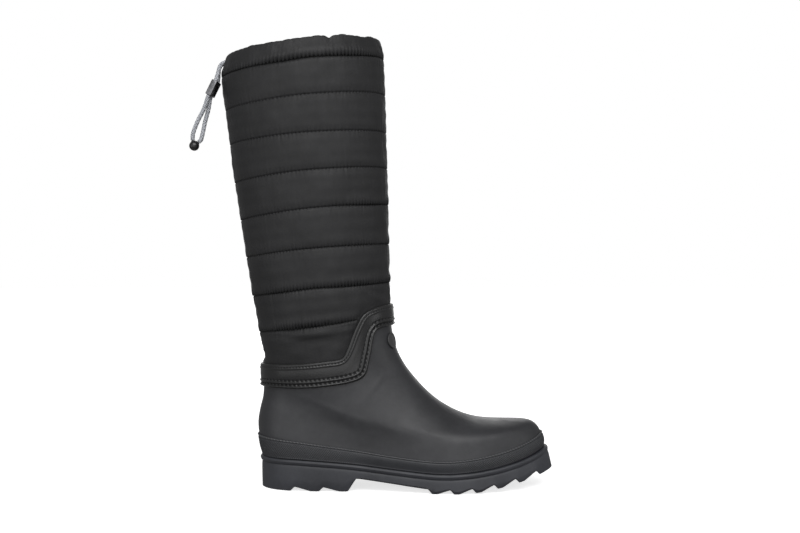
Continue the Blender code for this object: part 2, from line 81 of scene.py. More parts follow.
Ring = namedtuple("Ring", "name back back_rise side_rise front front_rise outer inner oval bow")
RINGS = (
    Ring("feather edge", 3.0, 0.4, 0.4, 270.0, 1.2, 50.5, 50.5, 0.0, 2.0),
    Ring("foot wall", 0.3, 9.0, 7.0, 270.3, 7.0, 52.0, 52.0, 0.0, 2.0),
    Ring("foxing line", -1.4, 20.0, 12.0, 267.8, 15.0, 51.5, 51.5, 0.0, 2.0),
    Ring("toe front", -2.2, 28.0, 20.5, 262.8, 24.2, 50.0, 50.0, 0.08, 2.0),
    Ring("toe crown", -1.9, 35.0, 28.0, 252.4, 31.6, 48.0, 48.0, 0.2, 2.1),
    Ring("toe box", -0.9, 41.0, 34.0, 230.0, 37.2, 46.0, 45.5, 0.3, 2.3),
    Ring("ball", 0.4, 47.0, 39.5, 204.0, 43.6, 43.8, 43.3, 0.45, 2.5),
    Ring("low instep", 1.9, 53.0, 45.5, 179.0, 55.8, 41.0, 40.5, 0.65, 2.6),
    Ring("instep", 2.8, 60.0, 53.0, 159.0, 70.2, 39.0, 38.5, 0.8, 2.6),
    Ring("high instep", 3.0, 68.0, 64.7, 143.0, 86.8, 38.0, 37.5, 0.95, 2.4),
    Ring("heel top", 2.5, 79.0, 81.0, 131.3, 104.7, 38.5, 38.0, 1.0, 2.2),
    Ring("ankle", 1.7, 95.0, 102.0, 125.5, 125.2, 40.0, 39.5, 1.0, 2.1),
    Ring("seam 7", -0.8, 116.6, 126.4, 124.3, 141.0, 42.0, 42.0, 1.0, 2.0),
    Ring("seam 6", -7.1, 150.4, 159.9, 122.8, 171.7, 44.0, 44.0, 1.0, 2.0),
    Ring("seam 5", -13.1, 186.7, 195.9, 122.0, 207.4, 45.5, 45.5, 1.0, 2.0),
    Ring("seam 4", -18.5, 221.8, 232.2, 121.3, 244.9, 47.0, 47.0, 1.0, 2.0),
    Ring("seam 3", -24.0, 257.1, 266.6, 120.4, 278.8, 48.5, 48.5, 1.0, 2.0),
    Ring("seam 2", -28.7, 293.2, 300.5, 119.4, 312.5, 50.0, 50.0, 1.0, 2.0),
    Ring("seam 1", -32.9, 325.4, 334.4, 118.4, 348.2, 51.0, 51.0, 1.0, 2.0),
    Ring("collar seam", -36.6, 357.6, 368.0, 116.8, 383.1, 51.5, 51.5, 1.0, 2.0),
    Ring("rim", -32.6, 376.2, 384.8, 114.0, 398.8, 50.5, 50.5, 1.0, 2.0),
)
LEVEL = {ring.name: level for level, ring in enumerate(RINGS)}
SEAM_LEVELS = range(LEVEL["seam 7"], LEVEL["rim"])
RING_COLUMNS = {field: [getattr(ring, field) for ring in RINGS] for field in Ring._fields[1:]}

EdgePoint = namedtuple("EdgePoint", "along height")
BAND_TOP = (
    EdgePoint(0.0, 116.3),
    EdgePoint(40.0, 118.4),
    EdgePoint(66.0, 121.2),
    EdgePoint(78.0, 123.6),
    EdgePoint(84.0, 131.5),
    EdgePoint(94.0, 153.5),
    EdgePoint(100.0, 163.0),
    EdgePoint(110.0, 169.2),
    EdgePoint(126.0, 172.9),
)
BAND_FOOT = (
    EdgePoint(0.0, 94.8),
    EdgePoint(40.0, 95.8),
    EdgePoint(66.0, 98.6),
    EdgePoint(80.0, 101.2),
    EdgePoint(90.0, 105.2),
    EdgePoint(96.5, 112.0),
    EdgePoint(103.4, 127.9),
    EdgePoint(108.8, 145.0),
    EdgePoint(113.0, 149.8),
    EdgePoint(126.0, 152.6),
)


def through(knots, values, at):
    """A smooth curve through the values at their knots, held level beyond its ends."""
    knots, values = np.asarray(knots, float), np.asarray(values, float)
    slopes = np.gradient(values, knots)
    slopes[1:-1] = (values[2:] - values[:-2]) / (knots[2:] - knots[:-2])
    at = np.clip(at, knots[0], knots[-1])
    piece = np.clip(np.searchsorted(knots, at, side="right") - 1, 0, len(knots) - 2)
    span = knots[piece + 1] - knots[piece]
    share = (at - knots[piece]) / span
    left, right = slopes[piece] * span, slopes[piece + 1] * span
    rise = values[piece + 1] - values[piece]
    square = 3 * rise - 2 * left - right
    cube = left + right - 2 * rise
    return values[piece] + share * (left + share * (square + share * cube))


ALONG = np.array([station.along for station in STATIONS])
ROUNDING = 2.0 * np.sqrt(ALONG / BEAD_LENGTH * (1.0 - ALONG / BEAD_LENGTH))


def sole_top(along):
    """Height of the sole's upper edge."""
    return through(ALONG, [station.top for station in STATIONS], along)


def fullness(side, share):
    """How far the foot's outline swells beyond a plain ellipse."""
    halves = np.array([getattr(station, side) for station in STATIONS])
    return through(ALONG / BEAD_LENGTH, halves / ROUNDING, share) / BALL_FULLNESS


def form_point(level, turn):
    """Points of the boot's outer form; turn goes from the heel over the outer side to the toe and back."""
    level, turn = np.broadcast_arrays(np.asarray(level, float), np.asarray(turn, float))
    ring = {field: through(range(len(RINGS)), column, level) for field, column in RING_COLUMNS.items()}
    share = (1.0 - np.cos(turn)) / 2.0
    along = ring["back"] + (ring["front"] - ring["back"]) * share
    outside = np.sin(turn) >= 0.0
    foot = np.where(outside, fullness("outer", share), fullness("inner", share))
    width = np.where(outside, ring["outer"], ring["inner"]) * (foot + (1.0 - foot) * ring["oval"])
    middle = 2.0 * share - 1.0
    rise = ring["side_rise"] * (1.0 - middle**2) + (ring["front_rise"] - ring["back_rise"]) / 2.0 * middle
    rise = rise + (ring["front_rise"] + ring["back_rise"]) / 2.0 * middle**2
    power = np.where(np.cos(turn) < 0.0, ring["bow"], 2.0)
    bowed = np.sign(np.sin(turn)) * np.maximum(1.0 - np.abs(np.cos(turn)) ** power, 0.0) ** (1.0 / power)
    across = TOE_SHIFT * share**4 * (1.0 - ring["oval"]) - width * bowed
    return np.stack((along, across, sole_top(along) + rise), axis=-1)


def unit(vectors):
    return vectors / np.maximum(np.linalg.norm(vectors, axis=-1, keepdims=True), 1e-9)


def bell(gap, reach):
    """A soft hump: one where there is no gap, falling to nothing a few reaches away."""
    return np.exp(-((gap / reach) ** 2))


def form_out(level, turn):
    """Unit vectors square to the form, pointing out of it."""
    step = 0.02
    around = form_point(level, turn + step) - form_point(level, turn - step)
    up = form_point(level + step, turn) - form_point(level - step, turn)
    return unit(np.cross(around, up))


def band_height(edge, turn):
    """Height of an edge of the joining band: level behind and in front, steep over the ankle bone."""
    along = form_point(LEVEL["ankle"], turn)[..., 0]
    return through([point.along for point in edge], [point.height for point in edge], along)


HALVINGS = 26


def level_at_height(height, turn):
    """The level at which the form reaches a height, found by halving."""
    low, high = np.zeros_like(turn), np.full_like(turn, len(RINGS) - 1.0)
    for _ in range(HALVINGS):
        middle = (low + high) / 2.0
        below = form_point(middle, turn)[..., 2] < height
        low, high = np.where(below, middle, low), np.where(below, high, middle)
    return (low + high) / 2.0


def band_levels(turn):
    """Levels of the joining band's top and foot edges."""
    return [level_at_height(band_height(edge, turn), turn) for edge in (BAND_TOP, BAND_FOOT)]


def placed(points):
    """Millimetres of the form's tables as metres in the CAD's frame."""
    return (np.asarray(points) + (HEEL_X, 0.0, 0.0)) * MM


def even_turns(count):
    return np.arange(count) * FULL_TURN / count


Fold = namedtuple("Fold", "start end height reach")


def folds_at(points, folds):
    """Height of soft straight folds on the outer side, each placed by its ends as x and z."""
    lift = np.zeros(points.shape[:-1])
    for fold in folds:
        run = np.subtract(fold.end, fold.start)
        spot = points[..., (0, 2)] - fold.start
        share = np.clip(spot @ run / (run @ run), 0.0, 1.0)
        gap = np.linalg.norm(spot - share[..., None] * run, axis=-1)
        lift += fold.height * bell(gap, fold.reach) * np.sin(np.pi * (0.05 + 0.9 * share))
    return lift * (points[..., 1] < 0.0)


def ripple(turn, waves, seed):
    """A soft random wave round the boot, from -1 to 1, made of the given numbers of waves."""
    chance = random.Random(seed)
    total = sum(
        np.sin(wave * turn + chance.uniform(0.0, FULL_TURN)) * chance.uniform(0.6, 1.0) for wave in waves
    )
    return total / (0.6 * len(waves) + 0.4)


# Making and finishing objects


def select_only(thing):
    bpy.ops.object.select_all(action="DESELECT")
    thing.select_set(True)
    bpy.context.view_layer.objects.active = thing


def in_edit(thing):
    select_only(thing)
    bpy.ops.object.mode_set(mode="EDIT")


def pick(thing, test, kind="faces"):
    """Selects the faces or edges that a test picks, in edit mode."""
    form = bmesh.from_edit_mesh(thing.data)
    bpy.ops.mesh.select_all(action="DESELECT")
    bpy.context.tool_settings.mesh_select_mode = (False, kind == "edges", kind == "faces")
    for item in getattr(form, kind):
        item.select_set(bool(test(item)))
    form.select_flush_mode()
    bmesh.update_edit_mesh(thing.data)


def out_of_edit(thing):
    bpy.ops.object.mode_set(mode="OBJECT")
    return thing


def apply_modifier(thing, kind, **settings):
    """Adds a modifier and applies it."""
    select_only(thing)
    modifier = thing.modifiers.new(kind.lower(), kind)
    for name, value in settings.items():
        setattr(modifier, name, value)
    bpy.ops.object.modifier_apply(modifier=modifier.name)
    return thing


def round_edges(thing, width, segments, angle):
    """Bevels the edges that are sharper than an angle in degrees."""
    limit = {"limit_method": "ANGLE", "angle_limit": math.radians(angle)}
    return apply_modifier(thing, "BEVEL", width=width * MM, segments=segments, **limit)


def smooth_subdivide(thing, levels):
    """Subdivides a piece, its points first moved out so that the smooth form goes through them."""
    wanted = vertex_points(thing)
    for _ in range(2):
        trial = thing.copy()
        trial.data = thing.data.copy()
        bpy.context.scene.collection.objects.link(trial)
        apply_modifier(trial, "SUBSURF", levels=1, render_levels=1)
        reached = vertex_points(trial)[: len(wanted)]
        bpy.data.objects.remove(trial)
        move_vertices(thing, vertex_points(thing) + wanted - reached)
    return apply_modifier(thing, "SUBSURF", levels=levels, render_levels=levels)


def name_piece(name):
    """Names the object that an operator has just added."""
    piece = bpy.context.object
    piece.name = name
    piece.data.name = name
    return piece


def settle(piece):
    """Puts a piece's place into its mesh, so that its object sits at the origin."""
    select_only(piece)
    bpy.ops.object.transform_apply(location=True, rotation=True, scale=True)
    return piece


def cad_copy(node, name):
    """A copy of a CAD node with its triangles joined into quads, to be worked on."""
    piece = nodes[node].copy()
    piece.data = nodes[node].data.copy()
    piece.name = piece.data.name = name
    for key in list(piece.keys()):
        del piece[key]
    bpy.context.scene.collection.objects.link(piece)
    piece.parent = None
    piece.matrix_world = Matrix.Identity(4)
    piece.data.materials.clear()
    in_edit(piece)
    bpy.ops.mesh.select_all(action="SELECT")
    bpy.ops.mesh.remove_doubles(threshold=0.00002)
    bpy.ops.mesh.customdata_custom_splitnormals_clear()
    bpy.ops.mesh.tris_convert_to_quads(face_threshold=math.radians(60.0), shape_threshold=math.radians(60.0))
    return out_of_edit(piece)


def grid_mesh(name, points, closed_rows=False, uv=None):
    """A mesh of quads over rows of points in metres, each row a closed loop."""
    rows, columns = points.shape[:2]
    index = np.arange(rows * columns).reshape(rows, columns)
    low = index if closed_rows else index[:-1]
    high = np.roll(index, -1, axis=0) if closed_rows else index[1:]
    quads = np.stack((low, np.roll(low, -1, axis=1), np.roll(high, -1, axis=1), high), axis=-1).reshape(-1, 4)
    mesh = bpy.data.meshes.new(name)
    mesh.from_pydata(points.reshape(-1, 3).tolist(), [], quads.tolist())
    if uv is not None:
        # The last column of quads runs on to a full turn, so the map has no fold there
        around, along = uv
        right = np.append(around[1:], around[-1] * 2.0 - around[-2])
        top = np.roll(along, -1, axis=0) if closed_rows else along[1:]
        base = along if closed_rows else along[:-1]
        shape = base.shape
        corners = np.stack(
            (
                np.stack((np.broadcast_to(around, shape), base), axis=-1),
                np.stack((np.broadcast_to(right, shape), np.roll(base, -1, axis=1)), axis=-1),
                np.stack((np.broadcast_to(right, shape), np.roll(top, -1, axis=1)), axis=-1),
                np.stack((np.broadcast_to(around, shape), top), axis=-1),
            ),
            axis=2,
        )
        layer = mesh.uv_layers.new(name="cloth")
        layer.data.foreach_set("uv", corners.astype(np.float32).ravel())
    mesh.shade_smooth()
    piece = bpy.data.objects.new(name, mesh)
    bpy.context.scene.collection.objects.link(piece)
    return piece


def vertex_points(piece):
    points = np.empty(len(piece.data.vertices) * 3, np.float32)
    piece.data.vertices.foreach_get("co", points)
    return points.reshape(-1, 3).astype(float)


def vertex_normals(piece):
    normals = np.empty(len(piece.data.vertices) * 3, np.float32)
    piece.data.vertex_normals.foreach_get("vector", normals)
    return normals.reshape(-1, 3).astype(float)


def move_vertices(piece, points):
    piece.data.vertices.foreach_set("co", points.astype(np.float32).ravel())
    piece.data.update()


def finish_piece(piece, material, slot, *replaced):
    """A finished piece: its material, the body it rides on and the CAD nodes it stands for; its slot is not
    used.
    """
    if material:
        piece.data.materials.clear()
        piece.data.materials.append(material)
    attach(piece, "root")
    if replaced:
        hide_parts(*replaced)
    return piece


# Materials


def new_material(name):
    material = bpy.data.materials.new(name)
    material.use_nodes = True
    return material, material.node_tree, material.node_tree.nodes["Principled BSDF"]


def feed(tree, socket, value):
    """Links a socket to another node's output, or sets its value."""
    if isinstance(value, bpy.types.NodeSocket):
        tree.links.new(value, socket)
    else:
        socket.default_value = value


def node(tree, kind, inputs, **settings):
    """A node with its settings; an input is a value, or another node's output to link."""
    made = tree.nodes.new(kind)
    for name, value in settings.items():
        setattr(made, name, value)
    for name, value in inputs.items():
        feed(tree, made.inputs[name], value)
    return made


def object_place(tree):
    return node(tree, "ShaderNodeTexCoord", {}).outputs["Object"]


def noise(tree, place, scale, detail=4.0, roughness=0.55):
    return node(
        tree,
        "ShaderNodeTexNoise",
        {"Vector": place, "Scale": scale, "Detail": detail, "Roughness": roughness},
    ).outputs["Fac"]


def spread(tree, value, low, high, start=0.3, end=0.7):
    """A value from 0 to 1 spread between two others."""
    return node(
        tree,
        "ShaderNodeMapRange",
        {"Value": value, "From Min": start, "From Max": end, "To Min": low, "To Max": high},
    ).outputs["Result"]


def mixed(tree, share, first, second):
    """A colour between two."""
    made = node(tree, "ShaderNodeMix", {}, data_type="RGBA")
    tree.links.new(share, made.inputs["Factor"])
    for socket, colour in ((made.inputs[6], first), (made.inputs[7], second)):
        feed(tree, socket, colour if isinstance(colour, bpy.types.NodeSocket) else (*colour, 1.0))
    return made.outputs[2]


def maths(tree, operation, first, second):
    made = node(tree, "ShaderNodeMath", {}, operation=operation)
    for socket, value in zip(made.inputs, (first, second)):
        feed(tree, socket, value)
    return made.outputs["Value"]


def weighed(tree, first, first_weight, second, second_weight):
    """The sum of two values, each with its weight."""
    pairs = ((first, first_weight), (second, second_weight))
    return maths(tree, "ADD", *[maths(tree, "MULTIPLY", value, weight) for value, weight in pairs])


def bumped(tree, height, strength, distance, under=None):
    inputs = {"Height": height, "Strength": strength, "Distance": distance}
    if under:
        inputs["Normal"] = under
    return node(tree, "ShaderNodeBump", inputs).outputs["Normal"]


def dress(tree, shader, colour, roughness, normal, others=None):
    """Gives a shader its colour, roughness and normal, and whatever else the finish needs."""
    inputs = {"Base Color": colour, "Roughness": roughness, "Normal": normal, **(others or {})}
    for name, value in inputs.items():
        feed(tree, shader.inputs[name], value)


def rubber_finish(name, dark, light, roughness, specular, grain, pale=None):
    """Matte moulded rubber: cloudy bloom, a fine grain, slightly uneven gloss, and, where a piece gives it, a
    painted highlight in a paler colour.
    """
    material, tree, shader = new_material(name)
    place = object_place(tree)
    bloom = noise(tree, place, 22.0, 5.0, 0.6)
    mottle = noise(tree, place, 260.0, 3.0)
    cloud = spread(tree, weighed(tree, bloom, 0.75, mottle, 0.25), 0.0, 1.0, 0.35, 0.65)
    colour = mixed(tree, cloud, dark, light)
    # Painted highlight: where the piece's attribute says so, the colour turns to the paler one
    if pale:
        painted_highlight = node(tree, "ShaderNodeAttribute", {}, attribute_name="painted_highlight").outputs["Fac"]
        colour = mixed(tree, painted_highlight, colour, pale)
    gloss = spread(tree, noise(tree, place, 75.0, 4.0), roughness - 0.05, roughness + 0.07)
    soft = bumped(tree, noise(tree, place, 45.0, 2.0), 0.12, 0.002)
    fine = bumped(tree, noise(tree, place, 1900.0, 2.0), grain, 0.0003, soft)
    dress(tree, shader, colour, gloss, fine, {"Specular IOR Level": specular})
    return material


def nylon_finish(name):
    """Satin woven nylon, with its weave on the cloth's own map."""
    material, tree, shader = new_material(name)
    place = object_place(tree)
    cloth = node(tree, "ShaderNodeUVMap", {}, uv_map="cloth").outputs["UV"]
    weave = [
        node(
            tree,
            "ShaderNodeTexWave",
            {"Vector": cloth, "Scale": 330.0, "Distortion": 0.6, "Detail": 1.0},
            bands_direction=direction,
        ).outputs["Fac"]
        for direction in ("X", "Y")
    ]
    threads = maths(tree, "MULTIPLY", *weave)
    slubs = noise(tree, place, 900.0, 3.0)
    shadow = noise(tree, place, 30.0, 4.0)
    tone = spread(tree, weighed(tree, shadow, 0.7, slubs, 0.3), 0.0, 1.0, 0.35, 0.65)
    colour = mixed(tree, tone, (0.0085, 0.0085, 0.0092), (0.0135, 0.0135, 0.0144))
    gloss = spread(tree, noise(tree, place, 90.0, 3.0), 0.54, 0.64)
    creases = bumped(tree, noise(tree, place, 130.0, 3.0), 0.1, 0.0012)
    fine = bumped(tree, threads, 0.16, 0.0002, creases)
    satin = {"Specular IOR Level": 0.35, "Sheen Weight": 0.05, "Sheen Roughness": 0.4}
    dress(tree, shader, colour, gloss, fine, satin)
    return material


def leather_finish(name):
    """Coated leather: pebbled grain, slightly glossier on its high spots."""
    material, tree, shader = new_material(name)
    place = object_place(tree)
    pebbles = node(
        tree, "ShaderNodeTexVoronoi", {"Vector": place, "Scale": 1050.0}, feature="SMOOTH_F1"
    ).outputs["Distance"]
    cloud = noise(tree, place, 55.0, 4.0)
    colour = mixed(tree, spread(tree, cloud, 0.0, 1.0), (0.0085, 0.0085, 0.009), (0.0145, 0.0145, 0.015))
    gloss = spread(tree, pebbles, 0.27, 0.37, 0.1, 0.7)
    soft = bumped(tree, noise(tree, place, 120.0, 3.0), 0.12, 0.0012)
    fine = bumped(tree, pebbles, 0.22, 0.00025, soft)
    dress(tree, shader, colour, gloss, fine, {"Specular IOR Level": 0.48})
    return material


def thread_finish(name, dark, light):
    """Twisted sewing thread."""
    material, tree, shader = new_material(name)
    place = object_place(tree)
    fibres = noise(tree, place, 2600.0, 3.0)
    colour = mixed(tree, spread(tree, fibres, 0.0, 1.0), dark, light)
    gloss = spread(tree, noise(tree, place, 700.0), 0.6, 0.75)
    dress(tree, shader, colour, gloss, bumped(tree, fibres, 0.3, 0.0002), {"Specular IOR Level": 0.15})
    return material


def lining_finish(name):
    """Brushed lining cloth inside the boot."""
    material, tree, shader = new_material(name)
    place = object_place(tree)
    pile = noise(tree, place, 1300.0, 4.0, 0.7)
    patch = noise(tree, place, 60.0, 4.0)
    tone = spread(tree, weighed(tree, pile, 0.6, patch, 0.4), 0.0, 1.0, 0.35, 0.65)
    colour = mixed(tree, tone, (0.014, 0.014, 0.0145), (0.034, 0.034, 0.035))
    gloss = spread(tree, pile, 0.85, 0.97)
    brushed = {"Sheen Weight": 0.25, "Sheen Roughness": 0.5, "Specular IOR Level": 0.2}
    dress(tree, shader, colour, gloss, bumped(tree, pile, 0.5, 0.0006), brushed)
    return material


def braid_finish(name):
    """Flecked round braid on the cord's own map: light and dark flecks, and painted shade in the gaps between
    the crossing yarns, whose pattern also gives the bump.
    """
    material, tree, shader = new_material(name)
    cloth = node(tree, "ShaderNodeUVMap", {}, uv_map="cloth").outputs["UV"]
    ways = []
    for lean in (1.0, -1.0):
        turned = node(tree, "ShaderNodeMapping", {"Vector": cloth, "Rotation": (0.0, 0.0, lean * 0.72)})
        ways.append(
            node(
                tree,
                "ShaderNodeTexWave",
                {"Vector": turned.outputs["Vector"], "Scale": 250.0, "Distortion": 0.8, "Detail": 1.0},
            ).outputs["Fac"]
        )
    yarns_and_gap_shade = maths(tree, "MULTIPLY", *ways)
    fleck = noise(tree, cloth, 620.0, 3.0, 0.7)
    # Painted shade: the colour darkens in the gaps between the crossing yarns; the flecks are the braid's own
    # colour
    tone = spread(tree, weighed(tree, yarns_and_gap_shade, 0.6, fleck, 0.55), 0.0, 1.0, 0.26, 0.57)
    colour = mixed(tree, tone, (0.05, 0.054, 0.063), (0.7, 0.72, 0.765))
    gloss = spread(tree, fleck, 0.6, 0.8)
    dress(tree, shader, colour, gloss, bumped(tree, yarns_and_gap_shade, 0.5, 0.0004))
    return material


def metal_finish(name):
    """Dark plated metal with fine brush marks and rubbed patches."""
    material, tree, shader = new_material(name)
    place = object_place(tree)
    stretched = node(tree, "ShaderNodeMapping", {"Vector": place, "Scale": (1.0, 1.0, 0.06)})
    marks = noise(tree, stretched.outputs["Vector"], 3800.0, 3.0)
    wear_and_painted_highlight = noise(tree, place, 330.0, 4.0)
    colour = mixed(tree, spread(tree, wear_and_painted_highlight, 0.0, 1.0), (0.13, 0.13, 0.137), (0.22, 0.223, 0.232))
    gloss = spread(tree, marks, 0.26, 0.44)
    dress(tree, shader, colour, gloss, bumped(tree, marks, 0.12, 0.0002), {"Metallic": 1.0})
    return material


def plastic_finish(name):
    """Polished black plastic with faint handling marks."""
    material, tree, shader = new_material(name)
    place = object_place(tree)
    marks = noise(tree, place, 900.0, 5.0, 0.65)
    colour = mixed(tree, spread(tree, marks, 0.0, 1.0), (0.008, 0.008, 0.0085), (0.016, 0.016, 0.017))
    gloss = spread(tree, noise(tree, place, 420.0, 4.0), 0.14, 0.3)
    dress(tree, shader, colour, gloss, bumped(tree, marks, 0.05, 0.0002))
    return material


def felt_finish(name):
    """Pressed felt footbed."""
    material, tree, shader = new_material(name)
    place = object_place(tree)
    fibres = noise(tree, place, 1100.0, 5.0, 0.7)
    wear = noise(tree, place, 35.0, 4.0)
    tone = spread(tree, weighed(tree, fibres, 0.55, wear, 0.45), 0.0, 1.0, 0.35, 0.65)
    colour = mixed(tree, tone, (0.05, 0.05, 0.051), (0.11, 0.11, 0.112))
    gloss = spread(tree, fibres, 0.88, 0.98)
    dress(tree, shader, colour, gloss, bumped(tree, fibres, 0.6, 0.0008))
    return material


# Camera, light and floor


def add_camera():
    """Level with the shaft's middle, square to the boot's outer side."""
    view = bpy.data.cameras.new("camera")
    view.lens = 45.0
    view.sensor_width = 36.0
    camera = bpy.data.objects.new("camera", view)
    camera.location = (0.01204, -0.957, 0.208)
    camera.rotation_euler = (math.radians(90.0), 0.0, 0.0)
    bpy.context.scene.collection.objects.link(camera)
    bpy.context.scene.camera = camera


def add_lamp(name, location, aim, size, power):
    lamp = bpy.data.lights.new(name, "AREA")
    lamp.shape = "RECTANGLE"
    lamp.size, lamp.size_y = size
    lamp.energy = power
    thing = bpy.data.objects.new(name, lamp)
    thing.location = location
    thing.rotation_euler = (Vector(aim) - Vector(location)).to_track_quat("-Z", "Y").to_euler()
    bpy.context.scene.collection.objects.link(thing)


def add_light():
    """A white studio with dim walls: a soft box above and a wide fill in front, a box at the heel and one
    at the toe, and a panel and a fill behind."""
    scene = bpy.context.scene
    scene.view_settings.view_transform = "Standard"
    scene.view_settings.look = "None"
    scene.world = bpy.data.worlds.new("studio")
    scene.world.use_nodes = True
    tree = scene.world.node_tree
    tree.nodes.clear()
    white = (1.0, 1.0, 1.0, 1.0)
    walls = node(tree, "ShaderNodeBackground", {"Color": white, "Strength": 0.27})
    backdrop = node(tree, "ShaderNodeBackground", {"Color": white, "Strength": 1.0})
    seen = node(tree, "ShaderNodeLightPath", {}).outputs["Is Camera Ray"]
    both = node(tree, "ShaderNodeMixShader", {0: seen, 1: walls.outputs[0], 2: backdrop.outputs[0]})
    node(tree, "ShaderNodeOutputWorld", {"Surface": both.outputs[0]})
    add_lamp("front_box", (0.1, -1.25, 1.4), (0.06, 0.0, 0.12), (1.7, 0.9), 20.5)
    add_lamp("back_panel", (0.12, 1.5, 0.95), (0.06, 0.0, 0.1), (0.75, 0.8), 2.6)
    add_lamp("fill_box", (0.0, -1.7, 0.3), (0.0, 0.0, 0.22), (2.2, 1.3), 11.5)
    add_lamp("heel_box", (-1.3, -1.0, 0.35), (0.0, 0.0, 0.2), (1.0, 1.2), 4.2)
    add_lamp("toe_box", (1.5, -0.6, 0.6), (0.0, 0.0, 0.3), (0.5, 1.0), 3.2)
    add_lamp("inner_fill", (0.0, 1.8, 0.3), (0.0, 0.0, 0.2), (2.0, 1.0), 6.0)


def add_floor():
    """A wide pale floor."""
    bpy.ops.object.select_all(action="DESELECT")
    bpy.ops.mesh.primitive_circle_add(vertices=64, radius=9.0, fill_type="NGON")
    floor = name_piece("floor")
    in_edit(floor)
    bpy.ops.mesh.select_all(action="SELECT")
    bpy.ops.mesh.inset(thickness=6.0)
    out_of_edit(floor)
    material, tree, shader = new_material("floor_paper")
    place = object_place(tree)
    tone = noise(tree, place, 3.0)
    colour = mixed(tree, tone, (0.86, 0.86, 0.86), (0.9, 0.9, 0.9))
    fibres = bumped(tree, noise(tree, place, 400.0), 0.02, 0.0005)
    far = node(tree, "ShaderNodeVectorMath", {0: place}, operation="LENGTH").outputs["Value"]
    glow = spread(tree, far, 0.7, 1.0, 0.4, 1.6)
    paper = {"Emission Strength": glow, "Emission Color": (1.0, 1.0, 1.0, 1.0), "Specular IOR Level": 0.0}
    dress(tree, shader, colour, spread(tree, tone, 0.8, 0.9), fibres, paper)
    floor.data.materials.append(material)
    floor.visible_diffuse = floor.visible_glossy = False


# The drawcord

CORD_DIAMETER = 4.0
CORD_GIRTH = 12.5
CORD_SIDES = 24
CORD_SPACING = 0.45
YARN_TURN = 4.4
BALL_DIAMETER = 9.5
BALL_CENTRE = (-61.3 + HEEL_X, -12.6, 322.0)
LOCK_SIZE = (5.8, 10.4, 15.0)
LOCK_LANE = 2.45
BORE_RADIUS = 2.25
BORE_LENGTH = 20.0
LOCK_DOWN = Vector((-0.4384, 0.0, -0.8988))
LOCK_ACROSS = Vector((0.2104, 0.9722, -0.1026))
LOCK_MIDDLE = Vector((-164.35, -12.6, 375.96))

# Each strand's route in the CAD's frame, in millimetres, from inside the collar down to the ball
OUTER_STRAND = (
    (-152.43, -10.23, 401.48),
    (-154.93, -10.99, 400.53),
    (-156.51, -11.48, 399.26),
    (-157.73, -11.85, 397.6),
    (-158.75, -12.17, 394.48),
    (-161.58, -14.98, 382.95),
    (-164.86, -14.98, 376.21),
    (-168.15, -14.98, 369.47),
    (-172.86, -14.0, 356.6),
    (-178.66, -14.0, 345.1),
    (-183.16, -13.6, 333.6),
    (-183.66, -13.0, 328.5),
    (-183.32, -12.9, 326.93),
)
INNER_STRAND = (
    (-153.55, -6.18, 401.42),
    (-156.12, -6.67, 400.47),
    (-157.75, -6.97, 399.2),
    (-159.0, -7.21, 397.54),
    (-159.95, -7.39, 394.42),
    (-160.54, -10.22, 382.45),
    (-163.83, -10.22, 375.71),
    (-167.12, -10.22, 368.97),
    (-169.46, -10.2, 356.2),
    (-172.36, -10.0, 345.7),
    (-174.26, -10.4, 336.2),
    (-176.26, -11.4, 327.6),
    (-178.61, -11.87, 325.41),
)


def route_points(route, spacing):
    """Evenly spaced points in metres on a smooth curve through a route."""
    route = np.array(route)
    marks = np.append(0.0, np.cumsum(np.linalg.norm(np.diff(route, axis=0), axis=1)))
    at = np.linspace(0.0, marks[-1], max(round(marks[-1] / spacing), 2) + 1)
    return np.stack([through(marks, route[:, axis], at) for axis in range(3)], axis=-1) * MM


def add_strand(name, route, material, node_name):
    """A round braided strand: a tube with its yarns raised in two crossing spirals."""
    line = route_points(route, CORD_SPACING)
    along = np.append(0.0, np.cumsum(np.linalg.norm(np.diff(line, axis=0), axis=1)))
    tangent = unit(np.gradient(line, axis=0))
    side = unit(np.cross(tangent, (0.0, 1.0, 0.0)))
    rise = np.cross(side, tangent)
    around = even_turns(CORD_SIDES)
    phase = along[:, None] / (YARN_TURN * MM) * FULL_TURN
    yarn = np.maximum(np.sin(4 * around + phase), np.sin(4 * around - phase))
    radius = (CORD_DIAMETER / 2.0 - 0.14 + 0.17 * yarn) * MM
    ring = side[:, None] * np.cos(around)[:, None] + rise[:, None] * np.sin(around)[:, None]
    points = line[:, None] + ring * radius[..., None]
    for end in (0, -1):
        points[end] = line[end]
    uv = (around / FULL_TURN * CORD_GIRTH * MM, np.repeat(along[:, None], CORD_SIDES, axis=1))
    strand = grid_mesh(name, points, uv=uv)
    in_edit(strand)
    bpy.ops.mesh.select_all(action="SELECT")
    bpy.ops.mesh.remove_doubles(threshold=0.00001)
    bpy.ops.mesh.normals_make_consistent(inside=False)
    out_of_edit(strand)
    finish_piece(strand, material, "cord_braid", node_name)
    return strand, line


